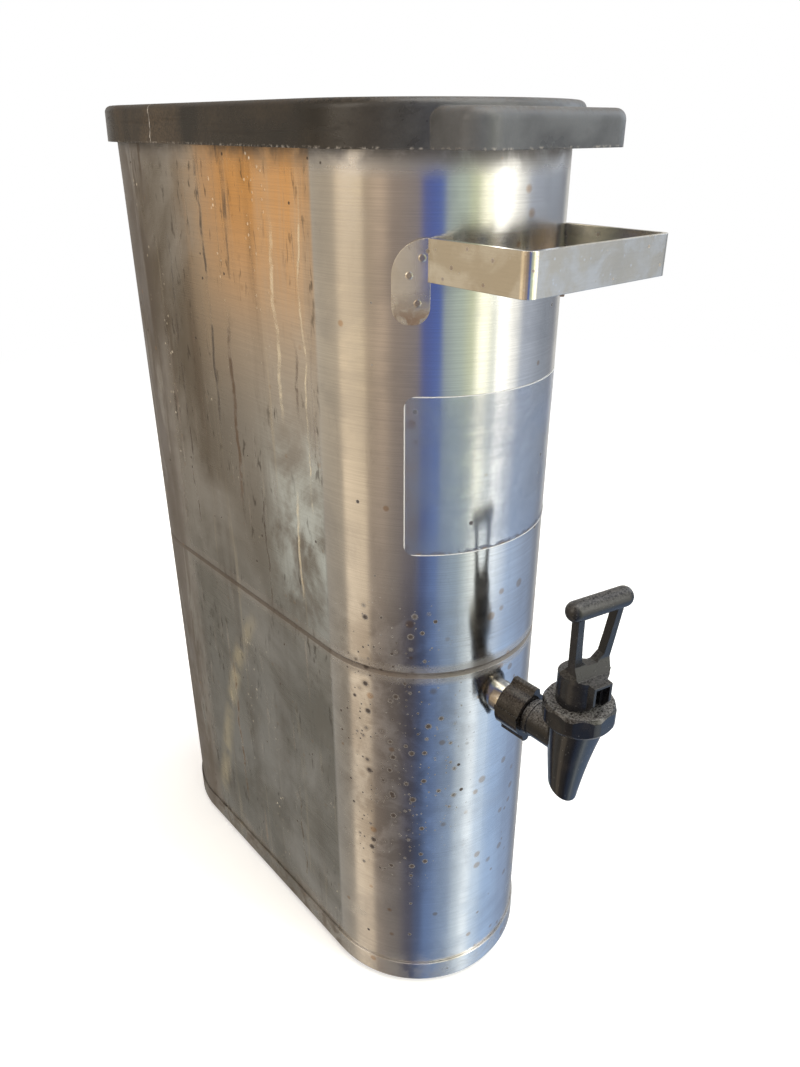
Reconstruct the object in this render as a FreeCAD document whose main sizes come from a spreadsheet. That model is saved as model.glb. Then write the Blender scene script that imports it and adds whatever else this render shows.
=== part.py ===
import FreeCAD, Part
import math
import os
import Sketcher

from FreeCAD import Placement, Rotation, Vector

# Narrow oval urn for cold or pre-brewed drinks: sheet-steel tank, black lid, plastic tap.
# Frame: +Z up, the tap looks along -Y, the origin is on the floor under the middle of the whole
# urn's box. Pieces are drawn about the middle of the oval tank, which stands behind the origin.
# The tank's plan is a racetrack: two half rounds joined by straight sides along Y.

doc = FreeCAD.newDocument("Urn")
sheet = doc.addObject("Spreadsheet::Sheet", "Sizes")

SIZES = {
    # Tank wrapper
    "body_radius": 71.0,
    "body_straight": 92.0,
    "wall": 1.0,
    "rim_z": 544.7,
    "rim_roll": 2.0,
    "rim_height": 4.0,
    "seam_z": 261.0,
    "seam_depth": 1.2,
    "seam_height": 4.0,
    # Base band and feet
    "foot_stand": 3.5,
    "band_height": 16.5,
    "band_wall": 1.2,
    "band_flange": 24.0,
    "band_round": 2.2,
    "foot_radius": 11.0,
    "foot_inset": 12.0,
    "foot_hole_radius": 4.0,
    "foot_end_gap": 20.0,
    "foot_head": 2.0,
    "foot_stem_height": 5.0,
    # Tank floor
    "pan_wall": 1.0,
    "pan_floor_z": 222.0,
    "pan_slope": 12.0,
    "pan_lip_height": 10.0,
    # Lid
    "lid_gap": 0.3,
    "lid_height": 19.5,
    "lid_overhang": 5.5,
    "lid_draft": 0.6,
    "lid_skin": 2.6,
    "lid_top_skin": 3.0,
    "lid_round": 4.0,
    "lid_rib_gap": 1.2,
    "lid_rib_height": 12.0,
    "lip_inset": 20.5,
    "lip_overhang": 9.5,
    "lip_corner": 12.5,
    "lip_drop": 3.5,
    "lip_round": 5.0,
    # Front handle
    "strap_height": 18.5,
    "strap_wall": 2.4,
    "strap_z": 475.2,
    "strap_stand": 42.0,
    "strap_half_width": 48.6,
    "strap_corner": 5.0,
    "pad_angle": 13.8,
    "pad_drop": 19.0,
    "pad_top_round": 16.5,
    "pad_low_round": 8.0,
    # Label film
    "label_z": 337.2,
    "label_height": 85.0,
    "label_half_angle": 50.0,
    "label_corner": 6.0,
    "label_wall": 0.3,
    # Outlet tube, wing nut and what seals them
    "outlet_rise": 12.3,
    "tube_radius": 9.6,
    "tube_wall": 1.2,
    "tube_inside": 14.0,
    "tube_stand": 16.3,
    "thread_radius": 11.0,
    "thread_length": 8.0,
    "nut_length": 16.5,
    "nut_radius": 13.2,
    "nut_lip": 3.0,
    "wing_radius": 16.8,
    "wing_half_wall": 2.6,
    "wing_foot": 5.6,
    "wing_turn": 14.0,
    "rib_half_wall": 1.3,
    "rib_rise": 1.0,
    "washer_wall": 2.0,
    "ring_wall": 1.6,
    "ring_depth": 1.0,
    "ring_split": 3.0,
    # Tap body
    "inlet_length": 36.7,
    "inlet_radius": 9.6,
    "shank_radius": 10.3,
    "shank_gap": 0.35,
    "collar_radius": 11.0,
    "collar_gap": 2.1,
    "collar_wall": 2.0,
    "inlet_bore": 5.0,
    "body_top_radius": 15.6,
    "body_top_rise": 16.7,
    "neck_radius": 14.0,
    "neck_height": 8.5,
    "chamber_radius": 8.2,
    "seat_drop": 5.3,
    "seat_wall": 2.0,
    "throat_radius": 5.2,
    "spout_drop": 39.3,
    "spout_radius": 7.8,
    "spout_back": 4.3,
    "spout_mid_drop": 8.3,
    "spout_mid_radius": 11.9,
    "spout_mid_back": 2.8,
    "spout_cut_drop": 39.2,
    "spout_cut_slope": 0.66,
    "spout_bore": 6.6,
    "spout_bore_top": 6.2,
    "spout_bore_back": 1.3,
    # Bonnet
    "bonnet_flat": 18.8,
    "bonnet_height": 13.0,
    "bonnet_chamfer": 2.2,
    "bonnet_corner": 19.6,
    "bonnet_rim": 18.2,
    "bonnet_low_rim": 17.8,
    "bonnet_low_chamfer": 2.5,
    "bonnet_top_wall": 3.0,
    # Stem, seat cup and spring
    "stem_radius": 3.0,
    "stem_bulb": 4.5,
    "stem_bulb_height": 3.0,
    "stem_flange": 6.9,
    "stem_flange_rise": 11.0,
    "stem_flange_wall": 2.0,
    "stem_head": 3.2,
    "cup_radius": 7.3,
    "cup_floor": 2.0,
    "cup_height": 8.0,
    "cup_nose": 1.6,
    "wire_radius": 0.55,
    "coil_radius": 5.9,
    "coil_turns": 5.0,
    "thrust_wall": 0.8,
    # Tap handle
    "handle_turn": 12.0,
    "handle_radius": 13.0,
    "handle_gap": 0.25,
    "block_rear_height": 16.3,
    "block_rise": 1.2,
    "cam_flat": 6.0,
    "cam_mid_y": 12.5,
    "cam_mid_height": 2.3,
    "nose_reach": 16.0,
    "nose_half_width": 6.0,
    "nose_low_height": 7.2,
    "nose_top_height": 18.2,
    "window_half_width": 4.5,
    "window_top_height": 16.7,
    "window_depth": 5.0,
    "pin_rise": 7.5,
    "pin_radius": 1.5,
    "pin_length": 18.0,
    "slot_width": 7.0,
    "slot_round": 4.4,
    "fork_floor": 25.7,
    "fork_floor_half": 3.0,
    "leg_foot_height": 21.5,
    "leg_foot_out": 11.2,
    "leg_knee_height": 40.0,
    "leg_knee_out": 12.9,
    "leg_knee_in": 8.8,
    "leg_top_out": 14.7,
    "leg_top_in": 11.0,
    "leg_foot_y": 3.2,
    "leg_half_depth": 2.6,
    "bar_rise": 61.8,
    "bar_forward": 6.0,
    "bar_radius": 5.5,
    "bar_half_length": 20.3,
    # Clearances
    "weld_gap": 0.05,
    "running": 0.1,
}

for row, (alias, number) in enumerate(SIZES.items(), start=1):
    sheet.set(f"A{row}", alias)
    sheet.set(f"B{row}", str(number))
    sheet.setAlias(f"B{row}", alias)
doc.recompute()


# A length keeps its number and the formula that ties it to the sheet.
class Length:
    def __init__(self, number, formula):
        self.number = number
        self.formula = formula

    def __add__(self, other):
        other = as_length(other)
        return Length(self.number + other.number, f"({self.formula} + {other.formula})")

    def __sub__(self, other):
        other = as_length(other)
        return Length(self.number - other.number, f"({self.formula} - {other.formula})")

    def __mul__(self, factor):
        return Length(self.number * factor, f"({self.formula} * {factor})")

    def __neg__(self):
        return self * -1

    def over(self, other):
        return Length(self.number / other.number, f"({self.formula} / {other.formula})")


def as_length(thing):
    return thing if isinstance(thing, Length) else Length(float(thing), f"({thing})")


def size(alias):
    return Length(float(sheet.get(alias)), f"Sizes.{alias}")


def arc_sine(ratio):
    # The angle in degrees whose sine is the ratio.
    return Length(math.degrees(math.asin(ratio.number)), f"(asin({ratio.formula}) / 1 deg)")


ZERO = as_length(0)
PARTS = []


def new_body(label):
    body = doc.addObject("PartDesign::Body", label)
    body.Label = label
    place(body, 0, 0, 0)
    PARTS.append(body)
    return body


def origin_item(body, role):
    for item in body.Origin.OriginFeatures:
        if item.Role == role:
            return item


def sketch_on(body, role, name, offset=ZERO):
    sketch = body.newObject("Sketcher::SketchObject", name)
    sketch.AttachmentSupport = (origin_item(body, role), [""])
    sketch.MapMode = "FlatFace"
    offset = as_length(offset)
    sketch.AttachmentOffset = Placement(Vector(0, 0, offset.number), Rotation())
    sketch.setExpression("AttachmentOffset.Base.z", offset.formula)
    return sketch


def constrain(sketch, kind, place, length):
    index = sketch.addConstraint(Sketcher.Constraint(kind, *place, length.number))
    sketch.setExpression(f"Constraints[{index}]", length.formula)


def pin(sketch, curve, end, point):
    across, up = (as_length(item) for item in point)
    constrain(sketch, "DistanceX", (-1, 1, curve, end), across)
    constrain(sketch, "DistanceY", (-1, 1, curve, end), up)


def outline(sketch, points):
    # Closed polygon whose corners are tied to the sheet.
    corners = [[as_length(item) for item in point] for point in points]
    first = sketch.GeometryCount
    spots = [Vector(across.number, up.number, 0) for across, up in corners]
    for here, there in zip(spots, spots[1:] + spots[:1]):
        sketch.addGeometry(Part.LineSegment(here, there), False)
    count = len(corners)
    for index, corner in enumerate(corners):
        previous = first + (index - 1) % count
        sketch.addConstraint(Sketcher.Constraint("Coincident", previous, 2, first + index, 1))
        pin(sketch, first + index, 1, corner)


def circle(sketch, centre, radius):
    across, up = (as_length(item) for item in centre)
    radius = as_length(radius)
    shape = Part.Circle(Vector(across.number, up.number, 0), Vector(0, 0, 1), radius.number)
    index = sketch.addGeometry(shape, False)
    pin(sketch, index, 3, centre)
    constrain(sketch, "Radius", (index,), radius)


def feature(body, kind, name, sketch, **settings):
    item = body.newObject(f"PartDesign::{kind}", name)
    item.Profile = sketch
    for key, setting in settings.items():
        if isinstance(setting, Length):
            setattr(item, key, setting.number)
            item.setExpression(key, setting.formula)
        else:
            setattr(item, key, setting)
    sketch.Visibility = False
    doc.recompute()
    return item


def spin(body, kind, name, sketch, axis="V_Axis", **settings):
    return feature(body, kind, name, sketch, ReferenceAxis=(sketch, [axis]), **settings)


def mirrored(body, name, original, role):
    item = body.newObject("PartDesign::Mirrored", name)
    item.Originals = [original]
    item.MirrorPlane = (origin_item(body, role), [""])
    body.Tip = item
    doc.recompute()
    return item


def racetrack(body, name, section):
    # Carries one section round the oval: a half turn, a straight run, and their mirror images.
    sketch = sketch_on(body, "XZ_Plane", f"{name}_section", size("body_straight"))
    outline(sketch, section)
    end = spin(body, "Revolution", f"{name}_end", sketch, Angle=180, Reversed=True)
    side = feature(body, "Pad", f"{name}_side", sketch,
                   Length=size("body_straight") * 2, Reversed=True)
    mirrored(body, f"{name}_far_side", side, "YZ_Plane")
    mirrored(body, f"{name}_far_end", end, "XZ_Plane")


def oval_distance(point):
    # Distance in plan from the racetrack's centre line.
    along = max(abs(point.y) - size("body_straight").number, 0.0)
    return math.hypot(point.x, along)


def edges_where(shape, test):
    return [f"Edge{number}" for number, edge in enumerate(shape.Edges, start=1)
            if test(edge, edge.valueAt((edge.FirstParameter + edge.LastParameter) / 2))]


def rounded(body, name, radius, test, kind="Fillet", key="Radius"):
    base = body.Tip
    names = edges_where(base.Shape, test)
    item = body.newObject(f"PartDesign::{kind}", name)
    item.Base = (base, names)
    radius = as_length(radius)
    setattr(item, key, radius.number)
    item.setExpression(key, radius.formula)
    doc.recompute()
    return item


def near(number, target, slack=0.02):
    return abs(number - as_length(target).number) < slack


def loop_at(distance, height):
    # Edges that run round the oval at one distance and height.
    return lambda edge, mid: near(oval_distance(mid), distance) and near(mid.z, height)


def place(body, across, along, height, turn=ZERO, axis=Vector(0, 0, 1)):
    spot = [as_length(across), as_length(along) + tank_y, as_length(height)]
    turn = as_length(turn)
    body.Placement = Placement(Vector(*(item.number for item in spot)),
                               Rotation(axis, turn.number))
    for letter, item in zip("xyz", spot):
        body.setExpression(f"Placement.Base.{letter}", item.formula)
    body.setExpression("Placement.Rotation.Angle", turn.formula)


radius = size("body_radius")
straight = size("body_straight")
wall = size("wall")
inside = radius - wall
base_z = size("foot_stand")
band_inside = radius + size("weld_gap")
foot_x = radius - size("foot_inset")
foot_y = straight - size("foot_end_gap")
outlet_z = size("pan_floor_z") + size("outlet_rise")


def make_body_shell():
    # One wrapper sheet from the base to the rolled rim, with the pressed groove at mid height.
    body = new_body("body_shell")
    bottom = base_z + size("band_wall")
    seam = size("seam_z")
    half_seam = size("seam_height") * 0.5
    depth = size("seam_depth")
    rim = size("rim_z")
    roll = radius + size("rim_roll")
    under_roll = rim - size("rim_height")
    racetrack(body, "wrapper", [
        (inside, bottom), (radius, bottom),
        (radius, seam - half_seam), (radius - depth, seam), (radius, seam + half_seam),
        (radius, under_roll), (roll, under_roll), (roll, rim), (inside, rim),
        (inside, seam + half_seam), (inside - depth, seam), (inside, seam - half_seam)])
    rounded(body, "rim_round", size("rim_roll") * 0.7, loop_at(roll, rim))
    hole = sketch_on(body, "XZ_Plane", "outlet_hole", straight)
    circle(hole, (0, outlet_z), size("tube_radius") + size("weld_gap"))
    feature(body, "Pocket", "outlet_cut", hole, Length=radius * 2, Reversed=True)


def make_base_band():
    # Pressed band round the foot of the wrapper, turned in underneath to carry the feet.
    body = new_body("base_band")
    outer = band_inside + size("band_wall")
    top = base_z + size("band_height")
    shelf = base_z + size("band_wall")
    inner = radius - size("band_flange")
    racetrack(body, "band", [
        (inner, base_z), (outer, base_z), (outer, top), (band_inside, top),
        (band_inside, shelf), (inner, shelf)])
    rounded(body, "band_edge", size("band_round"), loop_at(outer, base_z))
    holes = sketch_on(body, "XY_Plane", "foot_holes", base_z)
    for side in (-1, 1):
        for end in (-1, 1):
            circle(holes, (foot_x * side, foot_y * end), size("foot_hole_radius"))
    feature(body, "Pocket", "foot_hole_cut", holes, Length=size("band_wall"), Reversed=True)


def make_feet():
    # Push-in rubber buttons: a domed pad below the band, a neck in its hole, a head above it.
    flange = size("band_wall")
    neck = size("foot_hole_radius") - size("weld_gap")
    pad = size("foot_radius")
    head = neck + size("foot_head")
    shelf = base_z + flange
    for fore, end in (("front", -1), ("rear", 1)):
        for hand, side in (("left", -1), ("right", 1)):
            body = new_body(f"foot_{fore}_{hand}")
            profile = sketch_on(body, "XZ_Plane", "button")
            outline(profile, [
                (0, 0), (pad - 1, 0), (pad, 1), (pad, base_z), (neck, base_z), (neck, shelf),
                (head, shelf), (neck, shelf + size("foot_stem_height")),
                (0, shelf + size("foot_stem_height"))])
            spin(body, "Revolution", "button_turn", profile, Angle=360)
            place(body, foot_x * side, foot_y * end, 0)


def make_floor_pan():
    # Dished tank floor, welded under the groove, deep enough for the outlet at its low end.
    body = new_body("floor_pan")
    sheet_wall = size("pan_wall")
    lip = inside - size("weld_gap")
    floor = size("pan_floor_z")
    foot = lip - size("pan_slope")
    lip_top = size("seam_z") - size("seam_height") * 0.5 - size("weld_gap")
    lip_foot = lip_top - size("pan_lip_height")
    racetrack(body, "pan", [
        (0, floor), (foot, floor), (lip, lip_foot), (lip, lip_top),
        (lip - sheet_wall, lip_top), (lip - sheet_wall, lip_foot),
        (foot - sheet_wall, floor + sheet_wall), (0, floor + sheet_wall)])
    hole = sketch_on(body, "XZ_Plane", "outlet_hole", straight)
    circle(hole, (0, outlet_z), size("tube_radius") + size("weld_gap"))
    feature(body, "Pocket", "outlet_cut", hole, Length=radius * 2, Reversed=True)


def ring(body, name, offset, outer, inner, length):
    # A round ring about the Y direction, from one plane forward.
    sketch = sketch_on(body, "XZ_Plane", f"{name}_ring", offset)
    circle(sketch, (0, outlet_z), outer)
    circle(sketch, (0, outlet_z), inner)
    return feature(body, "Pad", name, sketch, Length=length)


def end_at(sketch, curve, spot):
    return 1 if (sketch.getPoint(curve, 1) - spot).Length < 0.001 else 2


def hollow_outline(sketch, half, reach, corner, arc_radius):
    # Three straight walls with round corners, and the arc of the skirt that closes them.
    drop = math.sqrt(arc_radius.number ** 2 - half.number ** 2)
    back = -straight.number - drop
    wide, deep, turn = half.number, reach.number, corner.number
    bow = turn * (1 - math.sqrt(0.5))
    spots = [Vector(-wide, back, 0), Vector(-wide, turn - deep, 0), Vector(turn - wide, -deep, 0),
             Vector(wide - turn, -deep, 0), Vector(wide, turn - deep, 0), Vector(wide, back, 0)]
    middles = {1: Vector(bow - wide, bow - deep, 0), 3: Vector(wide - bow, bow - deep, 0),
               5: Vector(0, -straight.number - arc_radius.number, 0)}
    for index, here in enumerate(spots):
        there = spots[(index + 1) % len(spots)]
        if index in middles:
            sketch.addGeometry(Part.Arc(here, middles[index], there), False)
        else:
            sketch.addGeometry(Part.LineSegment(here, there), False)
    for index in range(len(spots)):
        after = (index + 1) % len(spots)
        joint = spots[after]
        sketch.addConstraint(Sketcher.Constraint(
            "Coincident", index, end_at(sketch, index, joint), after,
            end_at(sketch, after, joint)))
    pin(sketch, 0, 2, (-half, corner - reach))
    pin(sketch, 2, 1, (corner - half, -reach))
    pin(sketch, 2, 2, (half - corner, -reach))
    pin(sketch, 4, 1, (half, corner - reach))
    constrain(sketch, "DistanceX", (-1, 1, 0, 1), -half)
    constrain(sketch, "DistanceX", (-1, 1, 4, 2), half)
    constrain(sketch, "Radius", (1,), corner)
    constrain(sketch, "Radius", (3,), corner)
    pin(sketch, 5, 3, (0, -straight))
    constrain(sketch, "Radius", (5,), arc_radius)


def make_lid():
    # Moulded lid: a cap with a draughted skirt, an inner rib and a hollow finger lip in front.
    body = new_body("lid")
    skirt = radius + size("lid_overhang")
    ceiling = size("rim_z") + size("lid_gap")
    top = ceiling + size("lid_top_skin")
    low = top - size("lid_height")
    lean = size("lid_draft")
    skin = size("lid_skin")
    rib_out = inside - size("lid_rib_gap")
    rib_in = rib_out - skin
    rib_low = ceiling - size("lid_rib_height")
    racetrack(body, "cap", [
        (0, ceiling), (rib_in, ceiling), (rib_in, rib_low), (rib_out, rib_low),
        (rib_out, ceiling), (skirt - skin - lean, ceiling), (skirt - skin, low),
        (skirt, low), (skirt - lean, top), (0, top)])
    half = radius - size("lip_inset")
    reach = straight + skirt + size("lip_overhang")
    slab = sketch_on(body, "XY_Plane", "lip_plan", low)
    outline(slab, [(-half, -reach), (half, -reach), (half, -straight), (-half, -straight)])
    feature(body, "Pad", "lip", slab, Length=size("lid_height") - size("lip_drop"))
    rounded(body, "lip_corners", size("lip_corner"),
            lambda edge, mid: near(abs(mid.x), half) and near(mid.y, -reach))
    upper = top - size("lip_drop")
    rounded(body, "lip_edge", size("lip_round"),
            lambda edge, mid: near(mid.z, upper) and mid.y < -straight.number
            and oval_distance(mid) > skirt.number)
    # The slab is opened again inside the skirt and inside the rib.
    gap = sketch_on(body, "XZ_Plane", "gap_section", straight)
    outline(gap, [(rib_out, low), (skirt - skin, low), (skirt - skin - lean, ceiling),
                  (rib_out, ceiling)])
    spin(body, "Groove", "gap_turn", gap, Angle=180, Reversed=True)
    bowl = sketch_on(body, "XZ_Plane", "bowl_section", straight)
    outline(bowl, [(0, low), (rib_in, low), (rib_in, ceiling), (0, ceiling)])
    spin(body, "Groove", "bowl_turn", bowl, Angle=180, Reversed=True)
    foot = sketch_on(body, "XZ_Plane", "rib_foot_section", straight)
    outline(foot, [(rib_in, low), (rib_out, low), (rib_out, rib_low), (rib_in, rib_low)])
    spin(body, "Groove", "rib_foot_turn", foot, Angle=180, Reversed=True)
    # Hollow of the lip, between its own wall and the skirt.
    hollow = sketch_on(body, "XY_Plane", "hollow_plan", low)
    hollow_outline(hollow, half - skin, reach - skin, size("lip_corner") - skin, skirt)
    feature(body, "Pocket", "lip_hollow", hollow,
            Length=size("lid_height") - size("lip_drop") - size("lid_top_skin"), Reversed=True)
    rounded(body, "cap_edge", size("lid_round"), loop_at(skirt - lean, top))


def make_front_handle():
    # Bent strap: a front bar, two legs back to the tank, and a pad at each end that hugs it.
    body = new_body("front_handle")
    half = size("strap_half_width")
    reach = straight + radius + size("strap_stand")
    thick = size("strap_wall")
    low = size("strap_z")
    high = low + size("strap_height")
    plan = sketch_on(body, "XY_Plane", "strap_plan", low)
    outline(plan, [
        (-half, -straight), (-half, -reach), (half, -reach), (half, -straight),
        (half - thick, -straight), (half - thick, thick - reach),
        (thick - half, thick - reach), (thick - half, -straight)])
    feature(body, "Pad", "strap", plan, Length=size("strap_height"))
    bend = size("strap_corner")
    rounded(body, "strap_bends", bend,
            lambda edge, mid: near(abs(mid.x), half) and near(mid.y, -reach))
    rounded(body, "strap_inner_bends", bend - thick,
            lambda edge, mid: near(abs(mid.x), half - thick) and near(mid.y, thick - reach))
    seat = radius + size("weld_gap")
    trim = sketch_on(body, "XZ_Plane", "trim_section", straight)
    outline(trim, [(0, low - 1), (seat, low - 1), (seat, high + 1), (0, high + 1)])
    spin(body, "Groove", "trim_turn", trim, Angle=180, Reversed=True)
    pad_low = low - size("pad_drop")
    section = sketch_on(body, "XZ_Plane", "pad_section", straight)
    start = arc_sine((half - thick).over(seat))
    turn = start - 90
    section.AttachmentOffset = Placement(Vector(0, 0, straight.number),
                                         Rotation(Vector(0, 1, 0), turn.number))
    section.setExpression("AttachmentOffset.Rotation.Angle", turn.formula)
    outline(section, [(seat, pad_low), (seat + thick, pad_low), (seat + thick, high),
                      (seat, high)])
    pad = spin(body, "Revolution", "pad", section, Angle=size("pad_angle"))
    mirrored(body, "far_pad", pad, "YZ_Plane")
    middle = seat.number + thick.number / 2
    end_x = middle * math.sin(math.radians(start.number + size("pad_angle").number))
    start_x = middle * math.sin(math.radians(start.number))
    rounded(body, "pad_top", size("pad_top_round"),
            lambda edge, mid: near(abs(mid.x), end_x) and near(mid.z, high))
    rounded(body, "pad_low_outer", size("pad_low_round"),
            lambda edge, mid: near(abs(mid.x), end_x) and near(mid.z, pad_low))
    rounded(body, "pad_low_inner", size("pad_low_round"),
            lambda edge, mid: near(abs(mid.x), start_x) and near(mid.z, pad_low))


def make_label_film():
    # Clear film round the front of the tank, with rounded corners and nothing on it.
    body = new_body("label_film")
    seat = radius + size("weld_gap")
    low = size("label_z")
    high = low + size("label_height")
    half_angle = size("label_half_angle")
    section = sketch_on(body, "XZ_Plane", "film_section", straight)
    turn = -half_angle - 90
    section.AttachmentOffset = Placement(Vector(0, 0, straight.number),
                                         Rotation(Vector(0, 1, 0), turn.number))
    section.setExpression("AttachmentOffset.Rotation.Angle", turn.formula)
    outline(section, [(seat, low), (seat + size("label_wall"), low),
                      (seat + size("label_wall"), high), (seat, high)])
    spin(body, "Revolution", "film", section, Angle=half_angle * 2)
    end_x = (seat.number + size("label_wall").number / 2) \
        * math.sin(math.radians(half_angle.number))
    rounded(body, "film_corners", size("label_corner"),
            lambda edge, mid: near(abs(mid.x), end_x)
            and (near(mid.z, low) or near(mid.z, high)))


tube_end = straight + radius + size("tube_stand")
washer_end = tube_end + size("washer_wall")
ring_back = washer_end + size("ring_depth")
ring_front = ring_back + size("ring_wall")
nut_front = ring_front + size("weld_gap") + size("nut_lip")
tap_reach = washer_end + size("inlet_length")
rear_reach = straight + radius + size("lid_overhang")
tank_y = (tap_reach + size("bonnet_flat") - rear_reach) * 0.5


def make_outlet_tube():
    body = new_body("outlet_tube")
    start = straight + radius - size("tube_inside")
    ring(body, "tube", start, size("tube_radius"), size("tube_radius") - size("tube_wall"),
         tube_end - start)


def make_tube_thread():
    # Threaded collar brazed on the end of the tube; the thread is left plain.
    body = new_body("tube_thread")
    ring(body, "collar", tube_end - size("thread_length"), size("thread_radius"),
         size("tube_radius"), size("thread_length"))


def make_seal_washer():
    body = new_body("seal_washer")
    ring(body, "washer", tube_end, size("inlet_radius"), size("inlet_bore") + 1,
         size("washer_wall"))


def make_retaining_ring():
    # Split ring in the inlet's groove; the wing nut's lip pulls against it.
    body = new_body("retaining_ring")
    seat = size("inlet_radius") - size("ring_depth") + size("weld_gap")
    ring(body, "ring", ring_back, size("thread_radius") - size("running"), seat,
         size("ring_wall"))
    split = sketch_on(body, "XZ_Plane", "split_outline", ring_back)
    half = size("ring_split") * 0.5
    low = outlet_z - size("thread_radius") - 1
    outline(split, [(-half, low), (half, low), (half, outlet_z),
                    (-half, outlet_z)])
    feature(body, "Pocket", "split", split, Length=size("ring_wall"), Reversed=True)


def make_wing_nut():
    # Hub with two wings, two finger ribs, a threaded bore and a lip that holds the ring.
    body = new_body("wing_nut")
    hub = size("nut_radius")
    length = size("nut_length")
    plan = sketch_on(body, "XZ_Plane", "hub_plan")
    circle(plan, (0, 0), hub)
    feature(body, "Pad", "hub", plan, Length=length)
    tip = size("wing_radius")
    half = size("wing_half_wall")
    foot = size("wing_foot")
    inner = hub * 0.75
    shoulder = hub + (tip - hub) * 0.45
    wings = sketch_on(body, "XZ_Plane", "wing_plan")
    for up in (1, -1):
        outline(wings, [(-foot * up, inner * up), (-half * up, shoulder * up),
                        (-half * up, tip * up), (half * up, tip * up),
                        (half * up, shoulder * up), (foot * up, inner * up)])
    feature(body, "Pad", "wings", wings, Length=length)
    rounded(body, "wing_tips", half * 0.7,
            lambda edge, mid: near(abs(mid.x), half) and near(abs(mid.z), tip))
    ribs = sketch_on(body, "XZ_Plane", "rib_plan")
    rib = size("rib_half_wall")
    crest = hub + size("rib_rise")
    for side in (1, -1):
        outline(ribs, [(inner * side, -rib), (crest * side, -rib), (crest * side, rib),
                       (inner * side, rib)])
    feature(body, "Pad", "ribs", ribs, Length=length)
    bore = sketch_on(body, "XZ_Plane", "bore_plan")
    circle(bore, (0, 0), size("thread_radius") + size("running"))
    feature(body, "Pocket", "thread_bore", bore, Length=length - size("nut_lip"), Reversed=True)
    lip = sketch_on(body, "XZ_Plane", "lip_bore_plan")
    circle(lip, (0, 0), size("inlet_radius") + size("running"))
    feature(body, "Pocket", "lip_bore", lip, Length=length, Reversed=True)
    place(body, 0, length - nut_front, outlet_z, size("wing_turn"), Vector(0, 1, 0))


tap_y = -tap_reach
seat_z = outlet_z - size("seat_drop")
spout_z = outlet_z - size("spout_drop")
bonnet_low = outlet_z + size("body_top_rise")
neck_top = bonnet_low + size("neck_height")
bonnet_top = bonnet_low + size("bonnet_height")
ceiling_z = bonnet_top - size("bonnet_top_wall")


def make_tap_body():
    # Leaning spout cone, threaded neck and side inlet, bored out round a raised valve seat.
    body = new_body("tap_body")
    low = sketch_on(body, "XY_Plane", "spout_end", spout_z)
    circle(low, (0, size("spout_back")), size("spout_radius"))
    middle = sketch_on(body, "XY_Plane", "spout_middle", outlet_z - size("spout_mid_drop"))
    circle(middle, (0, size("spout_mid_back")), size("spout_mid_radius"))
    high = sketch_on(body, "XY_Plane", "spout_top", bonnet_low)
    circle(high, (0, 0), size("body_top_radius"))
    feature(body, "AdditiveLoft", "spout", low, Sections=[middle, high])
    neck = sketch_on(body, "XY_Plane", "neck_plan", bonnet_low)
    circle(neck, (0, 0), size("neck_radius"))
    feature(body, "Pad", "neck", neck, Length=size("neck_height"))
    inlet_start = washer_end - tap_reach
    inlet = sketch_on(body, "XZ_Plane", "inlet_plan", inlet_start)
    circle(inlet, (0, outlet_z), size("inlet_radius"))
    feature(body, "Pad", "inlet", inlet, Length=-inlet_start)
    shank_start = nut_front + size("shank_gap") - tap_reach
    collar_start = shank_start + size("collar_gap")
    shank = sketch_on(body, "XZ_Plane", "shank_plan", shank_start)
    circle(shank, (0, outlet_z), size("shank_radius"))
    feature(body, "Pad", "shank", shank, Length=-shank_start)
    collar = sketch_on(body, "XZ_Plane", "collar_plan", collar_start)
    circle(collar, (0, outlet_z), size("collar_radius"))
    feature(body, "Pad", "collar", collar, Length=size("collar_wall"))
    slot = sketch_on(body, "XZ_Plane", "groove_plan", ring_back - tap_reach)
    circle(slot, (0, outlet_z), size("inlet_radius") + 1)
    circle(slot, (0, outlet_z), size("inlet_radius") - size("ring_depth"))
    feature(body, "Pocket", "ring_groove", slot, Length=size("ring_wall"), Reversed=True)
    chamber = sketch_on(body, "XY_Plane", "chamber_plan", neck_top)
    circle(chamber, (0, 0), size("chamber_radius"))
    feature(body, "Pocket", "chamber", chamber, Length=neck_top - seat_z)
    bore = sketch_on(body, "XZ_Plane", "inlet_bore_plan", inlet_start)
    circle(bore, (0, outlet_z), size("inlet_bore"))
    feature(body, "Pocket", "inlet_passage", bore, Length=-inlet_start, Reversed=True)
    throat = sketch_on(body, "XY_Plane", "throat_plan", seat_z)
    circle(throat, (0, 0), size("throat_radius"))
    feature(body, "Pocket", "throat", throat, Length=size("seat_wall"))
    mouth = sketch_on(body, "XY_Plane", "mouth_plan", spout_z)
    circle(mouth, (0, size("spout_back")), size("spout_bore"))
    under_seat = sketch_on(body, "XY_Plane", "under_seat_plan",
                           seat_z - size("seat_wall"))
    circle(under_seat, (0, size("spout_bore_back")), size("spout_bore_top"))
    feature(body, "SubtractiveLoft", "spout_passage", mouth, Sections=[under_seat])
    # The spout ends in a slanting cut, low in front.
    cut = sketch_on(body, "YZ_Plane", "spout_cut")
    fore = -size("body_top_radius")
    aft = size("body_top_radius")
    slope = size("spout_cut_slope").number
    line = outlet_z - size("spout_cut_drop") + size("spout_back") * slope
    under = spout_z - size("spout_radius") * 2
    outline(cut, [(fore, under), (aft, under), (aft, line + aft * slope),
                  (fore, line + fore * slope)])
    feature(body, "Pocket", "spout_slant", cut, SideType="Symmetric",
            Length=size("body_top_radius") * 4)
    place(body, 0, tap_y, 0)


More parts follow.
